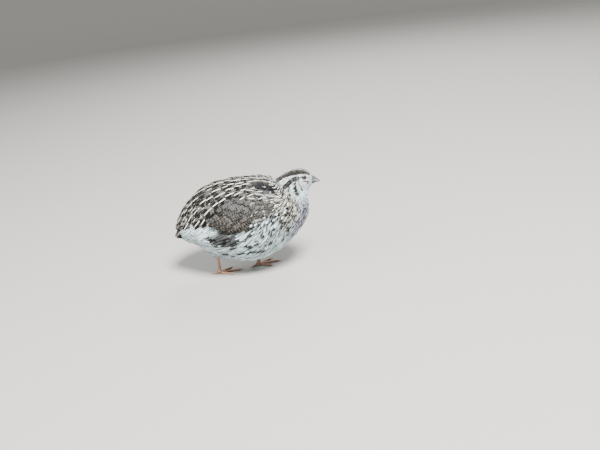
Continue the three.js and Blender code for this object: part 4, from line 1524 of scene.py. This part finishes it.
def make_leg(word):
    foot = FEET[word]
    flesh = leg_material()
    horn = claw_material()
    lean = foot["lean"]
    pieces = []
    tubes = []

    def at(dx, dy, z):
        return (foot["x"] + dx, foot["y"] + dy, z)

    def scaled(name, path, front, radii, count, shape, rows, around):
        place = tube_place(path, radii, front, shape)

        def above_floor(u, v):
            point = place(u, v)
            point[:, 2] = np.maximum(point[:, 2], 0.02)
            return point

        pieces.append(loft(name, above_floor, rows, around, flesh))
        tubes.append((path, front, count))

    top = foot["cuff"] + 5
    path = (
        at(lean, 0, top), at(lean * 0.75, 0, (top + 15) / 2), at(lean / 2, 0, min(15, top * 0.6)), at(0, 0, 6.5),
        at(0, 0, 2.4),
    )
    count = top / PLATE["pitch"]

    def shank_shape(u, angle):
        return scutes(u, angle, count, PLATE["shank"])

    scaled(f"shank_{word}_skin", path, FRONT, SHANK_RADII, count, shank_shape, 120, 40)
    for name, turn, length, claw, knuckle, plates in TOES:
        heading = -foot["side"] * (turn + foot["turn"])

        def reach(distance, z):
            return at(math.cos(heading) * distance, math.sin(heading) * distance, z)

        def toe_shape(u, angle):
            pad = 0.16 * np.cos(u * plates * np.pi) ** 2 * smooth(0.1, 0.8, -np.cos(angle))
            return scutes(u, angle, plates, PLATE["toe"]) + pad

        path = (
            reach(-0.6, 2.5), reach(length * 0.3, knuckle + 0.1), reach(length * 0.65, 1.2), reach(length, 1.05),
            reach(length + 1.1, 1.0),
        )
        scaled(f"toe_{word}_{name}", path, UP, TOE_RADII, plates, toe_shape, 64, 24)
        hook = [
            reach(length + on, z) for on, z in ((0.2, 1.05), (claw * 0.35, 1.35), (claw * 0.75, 1.05), (claw, 0.35))
        ]
        nail = loft(f"claw_{word}_{name}_horn", tube_place(hook, CLAW_RADII, UP), 26, 18, horn)
        settle(nail, "claw", f"claw_{word}_{name}")
    joined = weld(f"foot_{word}_skin", pieces)
    crease, plates = scale_marks(points_of(joined), tubes)
    # crease says where the creases get their painted shade
    attribute(joined, "crease", crease)
    attribute(joined, "plates", plates)
    settle(joined, "leg_skin", f"shank_{word}", f"foot_{word}")

# Stage: the camera stands where the photograph was taken from, with its lens and tilt.
CAMERA = {"place": (158.7, -718.6, 326.5), "ahead": (-0.1299, 0.9245, -0.3584), "roll": 7.5, "lens": 42}
# Lights: place and size in metres, power in watts and colour
LAMPS = {
    "key light": ((0.5, -0.8, 1.5), 0.6, 146, (1.0, 0.99, 0.97)),
    "fill light": ((-1.3, -0.7, 0.9), 1.2, 20, (0.95, 0.98, 1.0)),
    "rim light": ((0.2, 1.4, 1.3), 1.0, 30, (1, 1, 1)),
}
LIT = Vector((0, 0, 0.06))
SKY = {"Color": (0.86, 0.88, 0.9, 1), "Strength": 0.54}
# Radius of the floor's rising edge, in metres
SWEEP = 1.6


def make_floor():
    """A level disk with an edge that sweeps up all round."""
    tone = SIZES["floor_tone"]
    material = Look("studio floor").finish({"Base Color": (tone * 1.03, tone, tone * 0.94), "Roughness": 0.9})
    radius = SIZES["floor_radius"]
    bm = bmesh.new()
    bmesh.ops.create_circle(bm, cap_ends=True, segments=96, radius=radius)
    rim = [edge for edge in bm.edges if edge.is_boundary]
    for rise in np.linspace(0.12, 1.0, 9):
        grown = bmesh.ops.extrude_edge_only(bm, edges=rim)["geom"]
        rim = [part for part in grown if isinstance(part, bmesh.types.BMEdge)]
        angle = rise * math.pi / 2
        for vert in (part for part in grown if isinstance(part, bmesh.types.BMVert)):
            flat = Vector((vert.co.x, vert.co.y, 0)).normalized()
            vert.co = flat * (radius + SWEEP * math.sin(angle)) + Vector((0, 0, SWEEP * (1 - math.cos(angle))))
    for face in bm.faces:
        face.smooth = len(face.verts) == 4
    from_bmesh("studio_floor", bm, material)


def make_camera():
    data = bpy.data.cameras.new("camera")
    data.lens = CAMERA["lens"]
    data.sensor_width = 36
    data.clip_start = 0.01
    ahead = Vector(CAMERA["ahead"]).normalized()
    right = ahead.cross(Vector(UP)).normalized()
    roll = math.radians(CAMERA["roll"])
    tilted = right * math.cos(roll) - right.cross(ahead) * math.sin(roll)
    turn = Matrix((tilted, tilted.cross(ahead), -ahead)).transposed()
    camera = link("camera", data)
    camera.matrix_world = Matrix.Translation(Vector(CAMERA["place"]) * MM) @ turn.to_4x4()
    bpy.context.scene.camera = camera


def make_lights():
    for name, (place, width, power, colour) in LAMPS.items():
        light = bpy.data.lights.new(name, "AREA")
        light.shape = "DISK"
        light.size = width
        light.energy = power
        light.color = colour
        thing = link(name, light)
        thing.location = place
        thing.rotation_euler = (LIT - Vector(place)).to_track_quat("-Z", "Y").to_euler()
    world = bpy.data.worlds.new("studio")
    world.use_nodes = True
    for name, value in SKY.items():
        world.node_tree.nodes["Background"].inputs[name].default_value = value
    bpy.context.scene.world = world


def shade(title, about, value):
    """A colour that the sidebar shows."""
    return FloatVectorProperty(
        name=title, description=about, default=value, size=3, min=0, max=1, subtype="COLOR",
    )


class QuailSizes(bpy.types.PropertyGroup):
    """Sizes that a user may change before a step is run."""

    feather_length: FloatProperty(
        name="Feather length", description="Length of the body's feathers, as a share of the usual one",
        default=SIZES["feather_length"], min=0.7, max=1.3, subtype="FACTOR",
    )
    feather_width: FloatProperty(
        name="Feather width", description="Width of the body's feathers, as a share of the usual one",
        default=SIZES["feather_width"], min=0.7, max=1.4, subtype="FACTOR",
    )
    streak_width: FloatProperty(
        name="Streak width", description="Width of the cream streaks of the back, as a share of a feather",
        default=SIZES["streak_width"], min=0.0, max=0.6, subtype="FACTOR",
    )
    floor_radius: FloatProperty(
        name="Floor radius", description="Radius of the level part of the studio floor",
        default=SIZES["floor_radius"], min=1.5, max=6.0, unit="LENGTH",
    )
    floor_tone: FloatProperty(
        name="Floor tone", description="How light the studio floor is",
        default=SIZES["floor_tone"], min=0.0, max=1.0, subtype="FACTOR",
    )


class QuailColours(bpy.types.PropertyGroup):
    """Colours that a user may change before a step is run."""

    white: shade("White", "Whitest feathers, behind the wing", PALETTE["white"])
    blue_white: shade("Blue white", "Pale feathers of the belly and flanks", PALETTE["blue white"])
    face_white: shade("Face", "Brow, cheek and chin", PALETTE["face white"])
    cream: shade("Cream", "Streaks along the shafts", PALETTE["cream"])
    sand: shade("Sand", "Ground colour of the neck's sides", PALETTE["sand"])
    stone: shade("Stone", "Ground colour of the back", PALETTE["stone"])
    grey: shade("Grey", "Mantle, hip and upper wing", PALETTE["grey"])
    brown: shade("Brown", "Lower wing", PALETTE["brown"])
    ink: shade("Black", "Blotches and drops", PALETTE["ink"])
    flesh: shade("Legs", "Skin of the legs and toes", LEG_COLOURS["flesh"])
    bill_base: shade("Bill", "Base of the bill", BILL_COLOURS["base"])


def take_settings(context):
    """Reads what the sidebar sets."""
    sizes = context.scene.quail_sizes
    colours = context.scene.quail_colours
    for name in SIZES:
        SIZES[name] = getattr(sizes, name)
    for name in PALETTE:
        chosen = getattr(colours, name.replace(" ", "_"), None)
        if chosen is not None:
            PALETTE[name] = tuple(chosen)
            COLOUR[name] = np.array(PALETTE[name])
    LEG_COLOURS["flesh"] = tuple(colours.flesh)
    BILL_COLOURS["base"] = tuple(colours.bill_base)


def run(context, *parts, needs=()):
    """Runs the parts of a step, unless its solids aren't in the frame."""
    missing = [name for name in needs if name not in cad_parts]
    if missing:
        raise RuntimeError("solids missing: " + ", ".join(missing))
    take_settings(context)
    for part in parts:
        part()
    return {"FINISHED"}


class QUAIL_OT_skin(bpy.types.Operator):
    """One skin over head, neck, trunk, wings, tail and thighs."""

    bl_idname = "quail.skin"
    bl_label = "Skin"

    def execute(self, context):
        return run(context, make_skin, needs=FLESH)


class QUAIL_OT_coat(bpy.types.Operator):
    """Feathers of the head, neck, belly, flanks, back and thighs."""

    bl_idname = "quail.coat"
    bl_label = "Coat"

    def execute(self, context):
        return run(
            context, make_head_coat, make_neck_coat, make_belly_coat, make_flank_coat, make_rear_coat, make_back_coat,
            make_cuffs,
        )


class QUAIL_OT_wings(bpy.types.Operator):
    """Folded wings in tiers, and the tail."""

    bl_idname = "quail.wings"
    bl_label = "Wings and tail"

    def execute(self, context):
        return run(context, lambda: make_wing(-1), lambda: make_wing(1), make_tail)


class QUAIL_OT_head(bpy.types.Operator):
    """Eyes, lids and bill."""

    bl_idname = "quail.head"
    bl_label = "Eyes and bill"

    def execute(self, context):
        return run(context, make_eyes, make_bill, needs=("eye_right", "eye_left", "bill_upper", "bill_lower"))


class QUAIL_OT_legs(bpy.types.Operator):
    """Scaled legs, toes and claws."""

    bl_idname = "quail.legs"
    bl_label = "Legs"

    def execute(self, context):
        needs = [f"{part}_{word}" for part in ("shank", "foot") for word in FEET]
        return run(context, lambda: make_leg("right"), lambda: make_leg("left"), needs=needs)


class QUAIL_OT_stage(bpy.types.Operator):
    """Pale floor, soft lights and the camera."""

    bl_idname = "quail.stage"
    bl_label = "Stage"

    def execute(self, context):
        return run(context, make_floor, make_camera, make_lights)


STEPS = ("skin", "coat", "wings", "head", "legs", "stage")


class QUAIL_PT_panel(bpy.types.Panel):
    """Sizes, colours and steps of the quail."""

    bl_label = "Quail"
    bl_idname = "QUAIL_PT_panel"
    bl_space_type = "VIEW_3D"
    bl_region_type = "UI"
    bl_category = "Quail"

    def draw(self, context):
        for group in (context.scene.quail_sizes, context.scene.quail_colours):
            for name in group.__annotations__:
                self.layout.prop(group, name)
        for step in STEPS:
            self.layout.operator("quail." + step)


CLASSES = (
    QuailSizes,
    QuailColours,
    QUAIL_OT_skin,
    QUAIL_OT_coat,
    QUAIL_OT_wings,
    QUAIL_OT_head,
    QUAIL_OT_legs,
    QUAIL_OT_stage,
    QUAIL_PT_panel,
)


def register():
    for cls in CLASSES:
        bpy.utils.register_class(cls)
    bpy.types.Scene.quail_sizes = PointerProperty(type=QuailSizes)
    bpy.types.Scene.quail_colours = PointerProperty(type=QuailColours)


def unregister():
    del bpy.types.Scene.quail_colours
    del bpy.types.Scene.quail_sizes
    for cls in reversed(CLASSES):
        bpy.utils.unregister_class(cls)


def main():
    register()
    for step in STEPS:
        getattr(bpy.ops.quail, step)()


if __name__ == "__main__":
    main()
